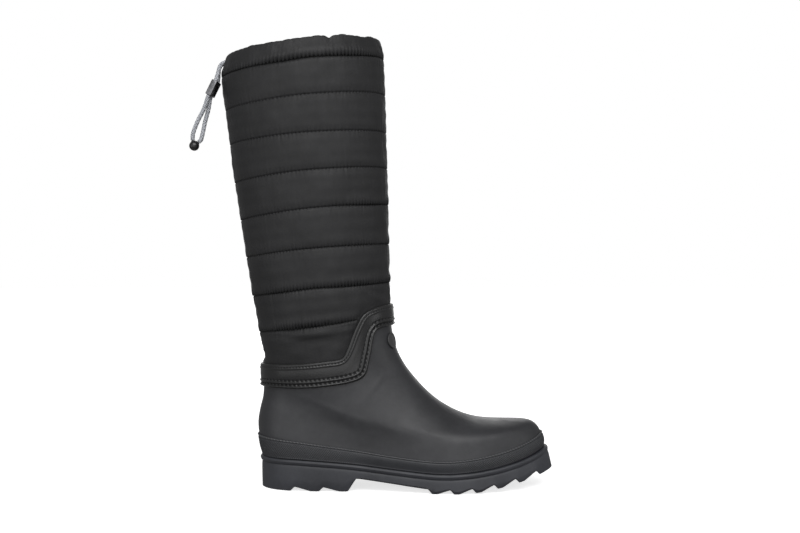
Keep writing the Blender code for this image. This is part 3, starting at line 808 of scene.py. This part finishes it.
def add_lock(material):
    """The flat metal cord lock: a rounded block with sunk faces, bored for both strands."""
    bpy.ops.object.select_all(action="DESELECT")
    bpy.ops.mesh.primitive_cube_add(size=1.0)
    lock = name_piece("cord_lock_block")
    lock.scale = Vector(LOCK_SIZE) * MM
    settle(lock)
    in_edit(lock)
    pick(lock, lambda face: abs(face.normal.x) > 0.9)
    bpy.ops.mesh.inset(thickness=1.3 * MM, depth=0.0)
    bpy.ops.mesh.inset(thickness=0.35 * MM, depth=-0.35 * MM)
    out_of_edit(lock)
    round_edges(lock, 0.55, 3, 50.0)
    for lane in (-LOCK_LANE, LOCK_LANE):
        bpy.ops.object.select_all(action="DESELECT")
        bpy.ops.mesh.primitive_cylinder_add(
            vertices=32, radius=BORE_RADIUS * MM, depth=BORE_LENGTH * MM, location=(0.0, lane * MM, 0.0)
        )
        bore = name_piece("bore")
        apply_modifier(lock, "BOOLEAN", operation="DIFFERENCE", solver="EXACT", object=bore)
        bpy.data.objects.remove(bore)
    turn = Matrix((LOCK_DOWN.cross(LOCK_ACROSS), LOCK_ACROSS, -LOCK_DOWN)).transposed().to_4x4()
    lock.matrix_world = Matrix.Translation(LOCK_MIDDLE * MM) @ turn
    settle(lock)
    bpy.ops.object.shade_smooth_by_angle(angle=math.radians(40.0))
    return finish_piece(lock, material, "lock_metal", "cord_lock")


def add_ball(material):
    """The cord's end ball, with a short collar round each strand and a fine parting line."""
    bpy.ops.object.select_all(action="DESELECT")
    bpy.ops.mesh.primitive_uv_sphere_add(segments=40, ring_count=26, radius=BALL_DIAMETER / 2.0 * MM)
    ball = name_piece("cord_end_bead")
    centre = Vector(BALL_CENTRE)
    mouths = [(Vector(route[-1]) - centre).normalized() for route in (OUTER_STRAND, INNER_STRAND)]
    in_edit(ball)
    for mouth in mouths:
        pick(ball, lambda face: face.calc_center_median().normalized().angle(mouth) < 0.5)
        bpy.ops.mesh.inset(thickness=0.3 * MM)
        bpy.ops.transform.translate(value=mouth * 0.42 * MM)
    pick(ball, lambda edge: all(abs(corner.co.z) < 0.0001 for corner in edge.verts), "edges")
    bpy.ops.mesh.bevel(offset=0.14 * MM, segments=2)
    pick(ball, lambda edge: all(abs(corner.co.z) < 0.00002 for corner in edge.verts), "edges")
    bpy.ops.transform.resize(value=(1.02, 1.02, 1.0))
    out_of_edit(ball)
    ball.location = centre * MM
    settle(ball)
    bpy.ops.object.shade_smooth()
    return finish_piece(ball, material, "ball_plastic", "cord_end_ball")


def add_drawcord():
    braid = braid_finish("flecked_braid")
    outer, outer_line = add_strand("drawcord_strand_outer", OUTER_STRAND, braid, "drawcord_outer")
    inner, inner_line = add_strand("drawcord_strand_inner", INNER_STRAND, braid, "drawcord_inner")
    lock = add_lock(metal_finish("dark_plated_metal"))
    ball = add_ball(plastic_finish("polished_plastic"))


# Stitches, modelled once and copied


def stitch_pattern(name, length, width):
    """One stitch: a short rounded bar of thread with dipping ends, along x with z out of the cloth."""
    bpy.ops.object.select_all(action="DESELECT")
    bpy.ops.mesh.primitive_cube_add(size=1.0)
    stitch = name_piece(name)
    stitch.scale = (length * MM, width * MM, width * 0.8 * MM)
    settle(stitch)
    in_edit(stitch)
    pick(stitch, lambda face: abs(face.normal.x) > 0.9)
    bpy.ops.mesh.extrude_faces_move()
    for side in (-1.0, 1.0):
        pick(stitch, lambda face: face.normal.x * side > 0.9)
        bpy.ops.transform.resize(value=(1.0, 0.55, 0.5))
        bpy.ops.transform.translate(value=(side * length * 0.16 * MM, 0.0, -width * 0.35 * MM))
    bpy.ops.mesh.select_all(action="SELECT")
    bpy.ops.mesh.bevel(offset=width * 0.24 * MM, segments=1, affect="EDGES")
    bpy.ops.mesh.normals_make_consistent(inside=False)
    return out_of_edit(stitch)


def lay_stitches(name, pattern, places, alongs, outs, material, slot):
    """Copies of a stitch along a seam, joined into one piece."""
    bpy.ops.object.select_all(action="DESELECT")
    copies = []
    for place, along, out in zip(places, alongs, outs):
        along, out = Vector(along), Vector(out)
        across = out.cross(along).normalized()
        along = across.cross(out).normalized()
        copy = pattern.copy()
        copy.data = pattern.data.copy()
        bpy.context.scene.collection.objects.link(copy)
        turn = Matrix((along, across, out)).transposed().to_4x4()
        copy.matrix_world = Matrix.Translation(Vector(place)) @ turn
        copy.select_set(True)
        copies.append(copy)
    bpy.context.view_layer.objects.active = copies[0]
    bpy.ops.object.join()
    row = name_piece(name)
    settle(row)
    bpy.ops.object.shade_smooth_by_angle(angle=math.radians(50.0))
    return finish_piece(row, material, slot)


# The quilted shaft

SIM_COLUMNS = 256
SIM_FRAMES = 20
SIM_SCALE = 10.0
START_PUFF = 0.4
SWELL_CAP = 1.1
CLOTH_GIRTH = 0.37
CHANNEL_SHARES = (0.0, 0.035, 0.1, 0.2, 0.34, 0.5, 0.66, 0.8, 0.9, 0.965)
TUNNEL_SHARES = (0.0, 0.05, 0.14, 0.28, 0.44, 0.6, 0.76, 0.89, 0.97)
# The lip over the rim, as distance out and lift, and the lining's rows from the rim down, of which the
# first few are still nylon
LIP = ((0.0, 0.5), (-0.8, 1.3), (-1.6, 1.55), (-2.4, 1.2))
LINING_LEVELS = (19.9, 19.6, 19.3, 19.05, 18.9, 18.5, 18.0, 17.0, 16.0, 15.0, 14.0, 13.0, 12.4)
NYLON_ROWS = 3
PUCKERS = 128
# How far the panel above hangs over each seam at places along it, each as along and depth: from a plain
# stitched line to a deep comb-edged fold
SEAM_FOLDS = {
    "seam 7": ((0, 0.5), (20, 0.8), (30, 1.3), (50, 1.2), (78, 0.7), (95, 0.25)),
    "seam 6": ((0, 0.5), (25, 0.8), (60, 0.6), (75, 1.0), (98, 1.2), (122, 0.8)),
    "seam 5": ((0, 0.2), (60, 0.3), (90, 0.45), (122, 0.5)),
    "seam 4": ((-10, 0.15), (60, 0.2), (85, 0.5), (105, 0.9), (121, 0.6)),
    "seam 3": ((0, 0.12), (120, 0.2)),
    "seam 2": ((0, 0.1), (119, 0.15)),
    "seam 1": ((0, 0.08), (118, 0.12)),
    "collar seam": ((-36, 0.5), (0, 0.8), (24, 1.5), (53, 0.9), (75, 1.1), (90, 1.35), (116, 0.6)),
}
SHAFT_FOLDS = (
    Fold((100.0, 188.5), (121.0, 180.0), -0.9, 2.2),
    Fold((102.0, 182.5), (121.5, 175.5), 0.7, 2.4),
    Fold((33.0, 137.0), (80.0, 141.0), -1.7, 4.0),
    Fold((40.0, 128.5), (74.0, 130.5), -1.3, 3.5),
    Fold((30.0, 144.5), (70.0, 148.0), 1.1, 2.5),
)
# Puckers of the rim where the drawcord runs
RimBump = namedtuple("RimBump", "along height reach")
RIM_BUMPS = (
    RimBump(-3.0, 0.9, 4.5),
    RimBump(24.0, -0.5, 4.0),
    RimBump(58.0, 0.8, 7.0),
    RimBump(68.4, -2.0, 2.6),
    RimBump(80.5, 1.2, 6.0),
    RimBump(99.0, -0.9, 4.0),
    RimBump(105.5, 0.6, 2.2),
)


def joint_level(turn):
    """The line under the band where shaft and foot meet."""
    return np.minimum(sum(band_levels(turn)) / 2.0 + 0.02, LEVEL["seam 7"] - 0.04)


def outer_levels(turn):
    """Levels of the quilted face's rows, closer together beside each seam."""
    stops = [joint_level(turn), *(np.full_like(turn, level) for level in SEAM_LEVELS)]
    rows = [low + (high - low) * share for low, high in zip(stops, stops[1:]) for share in CHANNEL_SHARES]
    rows += [np.full_like(turn, LEVEL["collar seam"] + share) for share in TUNNEL_SHARES]
    return np.array(rows)


def seam_gaps(points, turn):
    """Signed heights above each seam, one layer for each."""
    return np.stack([points[..., 2] - form_point(seam, turn)[..., 2] for seam in SEAM_LEVELS])


def band_gap(points, turn):
    return np.maximum(points[..., 2] - band_height(BAND_TOP, turn) - SHOULDER, 0.0)


def puff_at(levels, turn):
    """How far the padding stands out between the seams and above the band."""
    points = form_point(levels, turn)
    gap = np.minimum(np.abs(seam_gaps(points, turn)).min(axis=0), band_gap(points, turn))
    over = np.clip(levels - LEVEL["collar seam"], 0.0, 1.0)
    return PUFF * np.tanh(gap / PUFF_REACH) * (1.0 - over**6)


def shaft_start(turn, share):
    """The shaft's rows before the padding swells: the quilted face, the lip over the rim and the lining."""
    levels = outer_levels(turn)
    face = form_point(levels, turn) + form_out(levels, turn) * (puff_at(levels, turn) * share)[..., None]
    rim = np.full_like(turn, LEVEL["rim"])
    edge, away = form_point(rim, turn), form_out(rim, turn)
    lip = np.array([edge + away * out * (1, 1, 0) + (0.0, 0.0, lift) for out, lift in LIP])
    inside = np.array([np.full_like(turn, level) for level in LINING_LEVELS] + [joint_level(turn)])
    lining = form_point(inside, turn) - form_out(inside, turn) * SHAFT_WALL
    return np.concatenate((face, lip, lining)), levels


def swell(points, levels, turn):
    """Swells the padding between its seams with a cloth simulation, run larger than life on a shell of its
    own, and returns the swollen rows."""
    scale = SIM_SCALE * MM
    rows, columns = points.shape[:2]
    shell = grid_mesh("swelling_shell", points * scale, closed_rows=True)
    heights = form_point(levels, turn)
    held = np.ones((rows, columns))
    free = band_gap(heights, turn) > 0.0
    seam_rows = [row for row in range(len(levels)) if row % len(CHANNEL_SHARES) == 0]
    free[seam_rows] = False
    held[: len(levels)][free] = 0.0
    group = shell.vertex_groups.new(name="sewn")
    group.add(np.flatnonzero(held.ravel() > 0.5).tolist(), 1.0, "REPLACE")
    cloth = shell.modifiers.new("padding", "CLOTH")
    settings = cloth.settings
    settings.quality = 6
    settings.mass = 0.1
    settings.air_damping = 2.0
    settings.tension_stiffness = settings.compression_stiffness = 12.0
    settings.shear_stiffness = 4.0
    settings.bending_stiffness = 0.05
    settings.vertex_group_mass = "sewn"
    settings.pin_stiffness = 1.0
    settings.shrink_min = settings.shrink_max = -0.006
    settings.use_pressure = True
    settings.uniform_pressure_force = 0.9
    settings.effector_weights.gravity = 0.0
    cloth.collision_settings.use_self_collision = False
    scene = bpy.context.scene
    cloth.point_cache.frame_start, cloth.point_cache.frame_end = 1, SIM_FRAMES
    for step in range(1, SIM_FRAMES + 1):
        scene.frame_set(step)
    select_only(shell)
    bpy.ops.object.modifier_apply(modifier=cloth.name)
    swollen = vertex_points(shell).reshape(points.shape) / scale
    scene.frame_set(1)
    bpy.data.objects.remove(shell)
    moved = swollen - points
    reach = np.linalg.norm(moved, axis=-1, keepdims=True)
    return points + moved * np.minimum(1.0, SWELL_CAP / np.maximum(reach, 1e-6))


def halfway(values, closed):
    """Doubles the rows of a table with a smooth curve through them; a closed one meets itself."""
    if closed:
        before, after, beyond = (np.roll(values, shift, axis=0) for shift in (1, -1, -2))
    else:
        padded_rows = np.concatenate((values[:1], values, values[-1:], values[-1:]))
        before, after, beyond = padded_rows[:-3], padded_rows[2:-1], padded_rows[3:]
    between = (9.0 * (values + after) - before - beyond) / 16.0
    finer = np.empty((len(values) * 2, *values.shape[1:]))
    finer[0::2], finer[1::2] = values, between
    return finer if closed else finer[:-1]


def grid_normals(points):
    around = np.roll(points, -1, axis=1) - np.roll(points, 1, axis=1)
    return unit(np.cross(around, np.gradient(points, axis=0)))


def quilting(points, levels, turn):
    """Sews the seams in: a pit at each stitch, short puckers, longer gathers, and panels that hang over."""
    heights = form_point(levels, turn)
    gaps = seam_gaps(heights, turn)
    clear = np.clip(band_gap(heights, turn) / 3.0, 0.0, 1.0)
    out = np.zeros(levels.shape)
    fall = np.zeros(levels.shape)
    teeth = -np.cos(PUCKERS * turn)
    pit = ((1.0 - teeth) / 2.0) ** 0.7
    for seam, gap in zip(SEAM_LEVELS, gaps):
        far = np.abs(gap)
        over = gap > 0.0
        fold = through(*zip(*SEAM_FOLDS[RINGS[seam].name]), form_point(seam, turn)[..., 0])
        uneven = 0.85 + 0.4 * ripple(turn, (5, 11, 17, 29, 41), seam + 80)
        gathers = ripple(turn, (47, 59, 71, 83, 97), seam + 120)
        joined = 0.15 + 0.65 * np.minimum(fold, 1.0)
        sunk = joined + (1.0 - joined) * pit
        out -= (0.75 + 1.4 * fold) * sunk * bell(far, 0.65 + 0.95 * fold)
        height = (0.1 + 0.28 * fold) * uneven
        reach = np.where(over, 1.8 + 0.7 * fold, 1.9 + 0.4 * fold)
        out += height * teeth * np.exp(-far / reach) * (1.0 - bell(far, 0.6))
        out -= np.where(over, 1.8 * fold * uneven * (0.3 + 0.7 * pit**2) * bell(gap, 3.6), 0.0)
        out += 0.2 * gathers * np.exp(-far / 8.0) * (1.0 - bell(far, 1.2))
        out += np.where(over, 1.3 * fold * bell(gap - 3.6, 2.8), 0.0)
        fall += np.where(over, 2.9 * fold * (1.0 - 0.5 * pit**2) * bell(gap - 1.4, 1.5), 0.0)
        inside = bell(gap - 17.0, 9.0) * (levels < LEVEL["collar seam"])
        loose = 0.32 * ripple(turn, (6, 9, 13), seam + 160) + 0.18 * ripple(turn, (17, 22), seam + 200)
        out += inside * loose
    out += folds_at(heights, SHAFT_FOLDS)
    ankle = np.clip(-gaps[0] / 5.0, 0.0, 1.0)
    above = heights[..., 2] - band_height(BAND_TOP, turn)
    out -= 2.6 * bell(above - 8.0, 7.0) * bell(np.minimum(turn, FULL_TURN - turn), 0.7)
    out += 0.34 * ankle * np.sin(heights[..., 2] * FULL_TURN / 8.5 + 2.6 * ripple(turn, (2, 3, 5), 305))
    share = np.clip(levels - LEVEL["collar seam"], 0.0, 1.0)
    lean = 26 * turn + share * 3.4 + 2.0 * ripple(turn, (3, 5, 8), 301)
    drag = np.sin(lean) * (0.6 + 0.4 * ripple(turn, (7, 12), 302))
    out += 0.36 * drag * np.sin(np.pi * share) ** 2
    moved = points + grid_normals(points) * (out * clear)[..., None]
    moved[..., 2] += rim_lift(turn) * share**2 - fall * clear
    return moved


def rim_lift(turn):
    """How the rim rises and falls: listed puckers on the outer side, loose waves on the inner side."""
    along = form_point(LEVEL["rim"], turn)[..., 0]
    bumps = sum(bump.height * bell(along - bump.along, bump.reach) for bump in RIM_BUMPS)
    outside = np.clip(0.5 + 3.0 * np.sin(turn), 0.0, 1.0)
    waves = 0.8 * ripple(turn, (3, 4, 7, 10), 303) + 0.5 * ripple(turn, (13, 19, 24, 33), 304)
    return bumps * outside + waves * (1.0 - outside)


def add_shaft():
    """The quilted shaft: one closed padded shell with its lining, sewn in eight seams."""
    turn = even_turns(SIM_COLUMNS)
    points, levels = shaft_start(turn, START_PUFF)
    points = swell(points, levels, turn)
    face_rows = len(levels)
    fine_turn = even_turns(SIM_COLUMNS * 2)
    columns = np.moveaxis(halfway(np.moveaxis(points, 1, 0), True), 0, 1)
    face = halfway(columns[:face_rows], False)
    closed_turn = np.append(turn, FULL_TURN)
    wide_levels = np.array([np.interp(fine_turn, closed_turn, np.append(row, row[0])) for row in levels])
    fine_levels = halfway(wide_levels, False)
    face = quilting(face, fine_levels, fine_turn)
    rest = columns[face_rows:].copy()
    lift = face[-1, :, 2] - columns[face_rows - 1, :, 2]
    notch = 0.35 * np.maximum(np.sin(52 * fine_turn + 2.0 * ripple(fine_turn, (4, 7, 11), 310)), 0.0) ** 2
    rest[: len(LIP), :, 2] += lift - notch
    rest[len(LIP), :, 2] += lift * 0.6
    whole = np.concatenate((face, rest))
    rise = np.append(0.0, np.cumsum(np.linalg.norm(np.diff(whole, axis=0), axis=-1).mean(axis=1))) * MM
    uv = (fine_turn / FULL_TURN * CLOTH_GIRTH, np.repeat(rise[:, None], len(fine_turn), axis=1))
    shaft = grid_mesh("quilted_shaft_padding", placed(whole), closed_rows=True, uv=uv)
    shaft.data.materials.append(nylon_finish("satin_nylon"))
    shaft.data.materials.append(lining_finish("brushed_lining"))
    lining_start = (len(face) + len(LIP) + NYLON_ROWS) * len(fine_turn)
    which = (np.arange(len(shaft.data.polygons)) >= lining_start).astype(np.int32)
    shaft.data.polygons.foreach_set("material_index", which)
    finish_piece(shaft, None, "quilted_nylon", "quilted_shaft")

    normals = grid_normals(face)
    pattern = stitch_pattern("quilting_stitch", 1.7, 0.6)
    thread = thread_finish("quilting_thread", (0.004, 0.004, 0.0045), (0.011, 0.011, 0.0115))
    places, alongs, outs = [], [], []
    for number, seam in enumerate(SEAM_LEVELS):
        row = (number + 1) * len(CHANNEL_SHARES) * 2
        showing = band_gap(form_point(fine_levels[row], fine_turn), fine_turn) > 0.5
        for column in range(0, len(fine_turn), len(fine_turn) // PUCKERS):
            if showing[column]:
                places.append(placed(face[row, column] + normals[row, column] * 0.12))
                alongs.append(face[row, (column + 1) % len(fine_turn)] - face[row, column - 1])
                outs.append(normals[row, column])
    lay_stitches("quilting_stitches", pattern, places, alongs, outs, thread, "quilted_nylon")
    bpy.data.objects.remove(pattern)


# The rubber foot, foxing and sole

FOOT_FOLDS = (
    Fold((36.5, 89.9), (102.7, 65.1), 0.2, 3.0),
    Fold((122.9, 112.9), (93.5, 78.0), 0.26, 2.8),
)
# Lines through the middle of the foot and of the ankle
FOOT_MIDDLES = np.array((((22.0, 0.0, 58.0), (238.0, 5.0, 45.0)), ((64.0, 0.0, 60.0), (62.0, 0.0, 180.0))))


def looks_inside(face):
    """Whether a face of the foot's shell looks at the nearer middle line."""
    centre = np.array(face.center) / MM - (HEEL_X, 0.0, 0.0)
    aways = []
    for low, high in FOOT_MIDDLES:
        run = high - low
        share = min(max((centre - low) @ run / (run @ run), 0.0), 1.0)
        aways.append(centre - low - run * share)
    return min(aways, key=np.linalg.norm) @ np.array(face.normal) < 0.0


def add_foot():
    """The rubber foot: the CAD's shell smoothed, with two faint folds left by draping on the last."""
    foot = cad_copy("rubber_foot", "rubber_foot_shell")
    smooth_subdivide(foot, 3)
    points = vertex_points(foot)
    normals = vertex_normals(foot)
    spot = points / MM - (HEEL_X, 0.0, 0.0)
    lift = folds_at(spot, FOOT_FOLDS) * (normals[:, 1] < 0.0)
    move_vertices(foot, points + normals * (lift * MM)[:, None])
    foot.data.shade_smooth()
    dark, light = (0.0158, 0.0161, 0.0182), (0.0257, 0.0262, 0.0295)
    foot.data.materials.append(rubber_finish("foot_rubber_matte", dark, light, 0.46, 0.5, 0.1))
    foot.data.materials.append(lining_finish("foot_lining"))
    lined = [int(looks_inside(face)) for face in foot.data.polygons]
    foot.data.polygons.foreach_set("material_index", lined)
    finish_piece(foot, None, "foot_rubber", "rubber_foot")


FOXING_COLUMNS = 1760
FOXING_ROWS = 44
KNURL_PITCH = 2.0
ROPE_PITCH = 3.1
FOXING_STAND = 0.5
WAIST = 134.0
WAIST_REACH = 60.0


def add_foxing():
    """The foxing strip: small diamonds at heel and toe, smooth at the waist, with a roped top edge, and a
    painted highlight on the rope's beads and the diamonds' tops.
    """
    turn = even_turns(FOXING_COLUMNS)
    low, high = 0.05, LEVEL["foxing line"]
    levels = np.linspace(low, high, FOXING_ROWS)[:, None] * np.ones(FOXING_COLUMNS)
    base = form_point(levels, turn)
    base[0, :, 2] = sole_top(base[0, :, 0]) + 0.05
    out = form_out(levels, turn)
    middle = form_point((low + high) / 2.0, turn)
    around = np.cumsum(np.linalg.norm(np.roll(middle, -1, axis=0) - middle, axis=1))
    girth = round(around[-1] / KNURL_PITCH) * KNURL_PITCH
    around = np.append(0.0, around[:-1]) * girth / around[-1]
    up = np.cumsum(np.linalg.norm(np.diff(base, axis=0, prepend=base[:1]), axis=-1), axis=0)
    lean = FULL_TURN / KNURL_PITCH
    diamonds = np.abs(np.sin((around + up) * lean / 2.0)) * np.abs(np.sin((around - up) * lean / 2.0))
    rough = 1.0 - np.clip(1.0 - np.abs(middle[:, 0] - WAIST) / WAIST_REACH, 0.0, 1.0) ** 0.5
    edge = up[-1] - up
    field = np.clip((edge - 2.4) / 0.8, 0.0, 1.0) * np.clip(up / 1.5, 0.0, 1.0)
    rope = np.sin((around * round(girth / ROPE_PITCH) / girth + up * 0.5 / ROPE_PITCH) * FULL_TURN)
    bead = bell(edge - 0.9, 0.75) * (0.45 + 0.28 * rope * rough**0.5)
    seat = -0.25 * bell(edge - 2.4, 0.5)
    ends = 0.4 * bell(up, 0.9) - 0.3 * bell(edge, 0.45)
    stand = OVERLAY_GAP + FOXING_STAND + 0.85 * (diamonds - 0.4) * rough * field + bead + seat + ends
    face = base + out * stand[..., None]
    back = np.array([base[row] + out[row] * OVERLAY_GAP for row in (-1, FOXING_ROWS // 2, 0)])
    foxing = grid_mesh("foxing_strip_knurled", placed(np.concatenate((face, back))), closed_rows=True)
    # Painted highlight: the rope's beads and the tops of the diamonds are coloured paler through a vertex
    # attribute that the rubber's colour follows
    painted_highlight = foxing.data.attributes.new("painted_highlight", "FLOAT", "POINT")
    wear_and_painted_highlight = np.zeros((FOXING_ROWS + len(back), FOXING_COLUMNS), dtype=np.float32)
    wear_and_painted_highlight[:FOXING_ROWS] = bell(edge - 0.9, 0.7) * (0.6 + 0.4 * rope * rough**0.5)
    wear_and_painted_highlight[:FOXING_ROWS] += 0.4 * np.clip(diamonds * 1.6 - 0.6, 0.0, 1.0) * rough * field
    painted_highlight.data.foreach_set("value", wear_and_painted_highlight.ravel())
    dark, light = (0.0148, 0.0156, 0.0185), (0.0247, 0.0259, 0.0302)
    # The pale colour given here is the painted highlight's colour
    rubber = rubber_finish("foxing_rubber_matte", dark, light, 0.44, 0.45, 0.08, (0.085, 0.086, 0.088))
    finish_piece(foxing, rubber, "foxing_rubber", "foxing_strip")


def sole_drop(point):
    """How far a point in metres lies below the sole's upper edge, in millimetres."""
    return sole_top(point[0] / MM - HEEL_X) - point[2] / MM


def is_tread_edge(edge):
    """Whether an edge of the sole is a corner of its tread."""
    return edge.calc_face_angle(0.0) > 0.15 and any(face.normal.z < -0.3 for face in edge.link_faces)


def add_outsole():
    """The outsole: the CAD's sole smoothed into a round bead, with its tread edges kept crisp."""
    sole = cad_copy("outsole", "outsole_tread")
    in_edit(sole)
    pick(sole, is_tread_edge, "edges")
    bpy.ops.transform.edge_crease(value=0.95)
    pick(sole, lambda edge: all(0.4 < sole_drop(corner.co) < 1.0 for corner in edge.verts), "edges")
    bpy.ops.transform.edge_crease(value=0.5)
    out_of_edit(sole)
    apply_modifier(sole, "SUBSURF", levels=2, render_levels=2)
    points, normals = vertex_points(sole), vertex_normals(sole)
    drop = sole_drop(points.T)
    sideways = unit(normals * (1.0, 1.0, 0.0)) * (np.abs(normals[:, 2:]) < 0.95)
    fuller = 0.3 * bell(drop - 1.8, 1.2) - 0.3 * bell(drop - 5.4, 0.7)
    move_vertices(sole, points + sideways * (fuller * sideways[:, 1] ** 2 * MM)[:, None])
    select_only(sole)
    bpy.ops.object.shade_smooth_by_angle(angle=math.radians(35.0))
    dark, light = (0.0225, 0.0236, 0.0284), (0.0354, 0.0372, 0.0443)
    rubber = rubber_finish("sole_rubber_matte", dark, light, 0.52, 0.45, 0.12)
    finish_piece(sole, rubber, "sole_rubber", "outsole")


# The joining band and the badge

BAND_COLUMNS = 720
BAND_WIDTH = 21.0
# Each row keeps its rise from the foot edge, or the uppermost its drop from the top edge
StitchRow = namedtuple("StitchRow", "rise pitch length width")
STITCH_ROWS = (
    StitchRow(3.6, 4.1, 2.0, 0.75),
    StitchRow(7.6, 4.1, 2.0, 0.75),
    StitchRow(18.1, 3.0, 1.4, 0.45),
)
BROAD_STITCH = 0.75
STITCH_STEP = 0.004


def nearest(points, line):
    """How far each point of a grid lies from a line of points."""
    return np.stack([np.linalg.norm(row[:, None] - line, axis=2).min(axis=1) for row in points])


def add_band():
    """The joining band: rolled edges, and three stitched grooves, each with a puffed ridge below it."""
    turn = even_turns(BAND_COLUMNS)
    top, foot = band_levels(turn)
    grooved, plain, sewn_top = ((0.028, 0.58, 31), (0.62, 0.7, 3), (0.73, 0.955, 13))
    middle_shares = np.concatenate([np.linspace(*stretch) for stretch in (grooved, plain, sewn_top)])
    shares = np.concatenate(([0.0, 0.012], middle_shares, [0.97, 0.988, 1.0]))
    levels = foot + (top - foot) * shares[:, None]
    base, out = form_point(levels, turn), form_out(levels, turn)
    wide, drop = nearest(base, base[0]), nearest(base, base[-1])
    stand = 0.3 * bell(shares[:, None] - 0.6, 0.2) * np.ones(BAND_COLUMNS)
    stand -= 1.1 * bell(wide, 0.55) + 0.9 * bell(drop, 0.6)
    sewn = []
    for row in STITCH_ROWS:
        below = row.rise - wide if row.rise < BAND_WIDTH / 2.0 else drop - (BAND_WIDTH - row.rise)
        share = np.array([np.interp(0.0, -column, shares) for column in below.T])
        share = (np.roll(share, 1) + 2.0 * share + np.roll(share, -1)) / 4.0
        line = form_point(foot + (top - foot) * share, turn)
        marks = np.append(0.0, np.cumsum(np.linalg.norm(np.roll(line, -1, axis=0) - line, axis=1)))
        count = round(marks[-1] / row.pitch)
        pit = (1.0 + np.cos(marks[:-1] / marks[-1] * count * FULL_TURN)) / 2.0
        deep = row.width / BROAD_STITCH
        stand -= deep * (0.1 + 0.8 * pit) * bell(below, 0.7 * deep)
        stand += deep * (1.05 - 0.2 * pit) * bell(below - 1.9 * deep, 1.05 * deep)
        at = np.interp(np.arange(count) * marks[-1] / count, marks, np.append(turn, FULL_TURN))
        sewn.append((row, share, at))
    face = base + out * (OVERLAY_GAP + BAND_THICKNESS + stand)[..., None]
    back = np.array([base[row] + out[row] * OVERLAY_GAP for row in (-1, len(shares) // 2, 0)])
    band = grid_mesh("joining_band_leather", placed(np.concatenate((face, back))), closed_rows=True)
    finish_piece(band, leather_finish("coated_leather"), "band_leather", "joining_band")

    thread = thread_finish("band_thread", (0.008, 0.008, 0.0085), (0.02, 0.02, 0.021))
    for number, (row, share, at) in enumerate(sewn, 1):
        pattern = stitch_pattern("band_stitch", row.length, row.width)
        spots, levels = (at, at + STITCH_STEP), []
        for spot in spots:
            top, foot = band_levels(spot)
            levels.append(foot + (top - foot) * np.interp(spot, turn, share, period=FULL_TURN))
        place, ahead = (form_point(level, spot) for level, spot in zip(levels, spots))
        out = form_out(levels[0], at)
        seats = placed(place + out * (OVERLAY_GAP + BAND_THICKNESS - 0.5 * row.width))
        lay_stitches(f"band_stitches_{number}", pattern, seats, ahead - place, out, thread, "band_leather")
        bpy.data.objects.remove(pattern)


BADGE_HEIGHT = 138.0
BADGE_TURN = math.radians(164.5)
BADGE_RADIUS = 7.5
BADGE_THICKNESS = 1.2
INSTEP_RADIUS = 36.0


def add_badge():
    """The plain round badge: a raised rim round a flat field, bent to the instep's outer side."""
    bpy.ops.object.select_all(action="DESELECT")
    bpy.ops.mesh.primitive_cylinder_add(vertices=64, radius=BADGE_RADIUS * MM, depth=BADGE_THICKNESS * MM)
    badge = name_piece("instep_badge_disc")
    in_edit(badge)
    pick(badge, lambda face: face.normal.z > 0.9)
    bpy.ops.mesh.inset(thickness=0.35 * MM, depth=0.1 * MM)
    bpy.ops.mesh.inset(thickness=0.7 * MM)
    bpy.ops.mesh.inset(thickness=0.3 * MM, depth=-0.45 * MM)
    bpy.ops.mesh.inset(thickness=2.2 * MM)
    bpy.ops.mesh.inset(thickness=2.2 * MM)
    bpy.ops.mesh.poke()
    pick(badge, lambda face: face.normal.z < -0.9)
    bpy.ops.mesh.inset(thickness=2.5 * MM)
    bpy.ops.mesh.inset(thickness=2.5 * MM)
    bpy.ops.mesh.poke()
    out_of_edit(badge)
    round_edges(badge, 0.14, 2, 30.0)
    points = vertex_points(badge)
    points[:, 2] -= points[:, 1] ** 2 / (2.0 * INSTEP_RADIUS * MM)
    move_vertices(badge, points)
    spot = np.array(BADGE_TURN)
    level = level_at_height(BADGE_HEIGHT, spot)
    out = Vector(form_out(level, spot))
    across = Vector((0.0, 0.0, 1.0)).cross(out).normalized()
    turn = Matrix((across.cross(out), across, out)).transposed().to_4x4()
    place = Vector(placed(form_point(level, spot))) + out * (OVERLAY_GAP + BADGE_THICKNESS / 2.0) * MM
    badge.matrix_world = Matrix.Translation(place) @ turn
    settle(badge)
    bpy.ops.object.shade_smooth_by_angle(angle=math.radians(40.0))
    dark, light = (0.03, 0.03, 0.031), (0.045, 0.045, 0.046)
    rubber = rubber_finish("badge_rubber_satin", dark, light, 0.42, 0.5, 0.06)
    finish_piece(badge, rubber, "badge_rubber", "instep_badge")


# Assembly

add_camera()
add_light()
add_floor()
add_drawcord()
add_shaft()
add_foot()
add_foxing()
add_outsole()
add_band()
add_badge()
nodes["insole"].data.materials.clear()
nodes["insole"].data.materials.append(felt_finish("pressed_felt"))
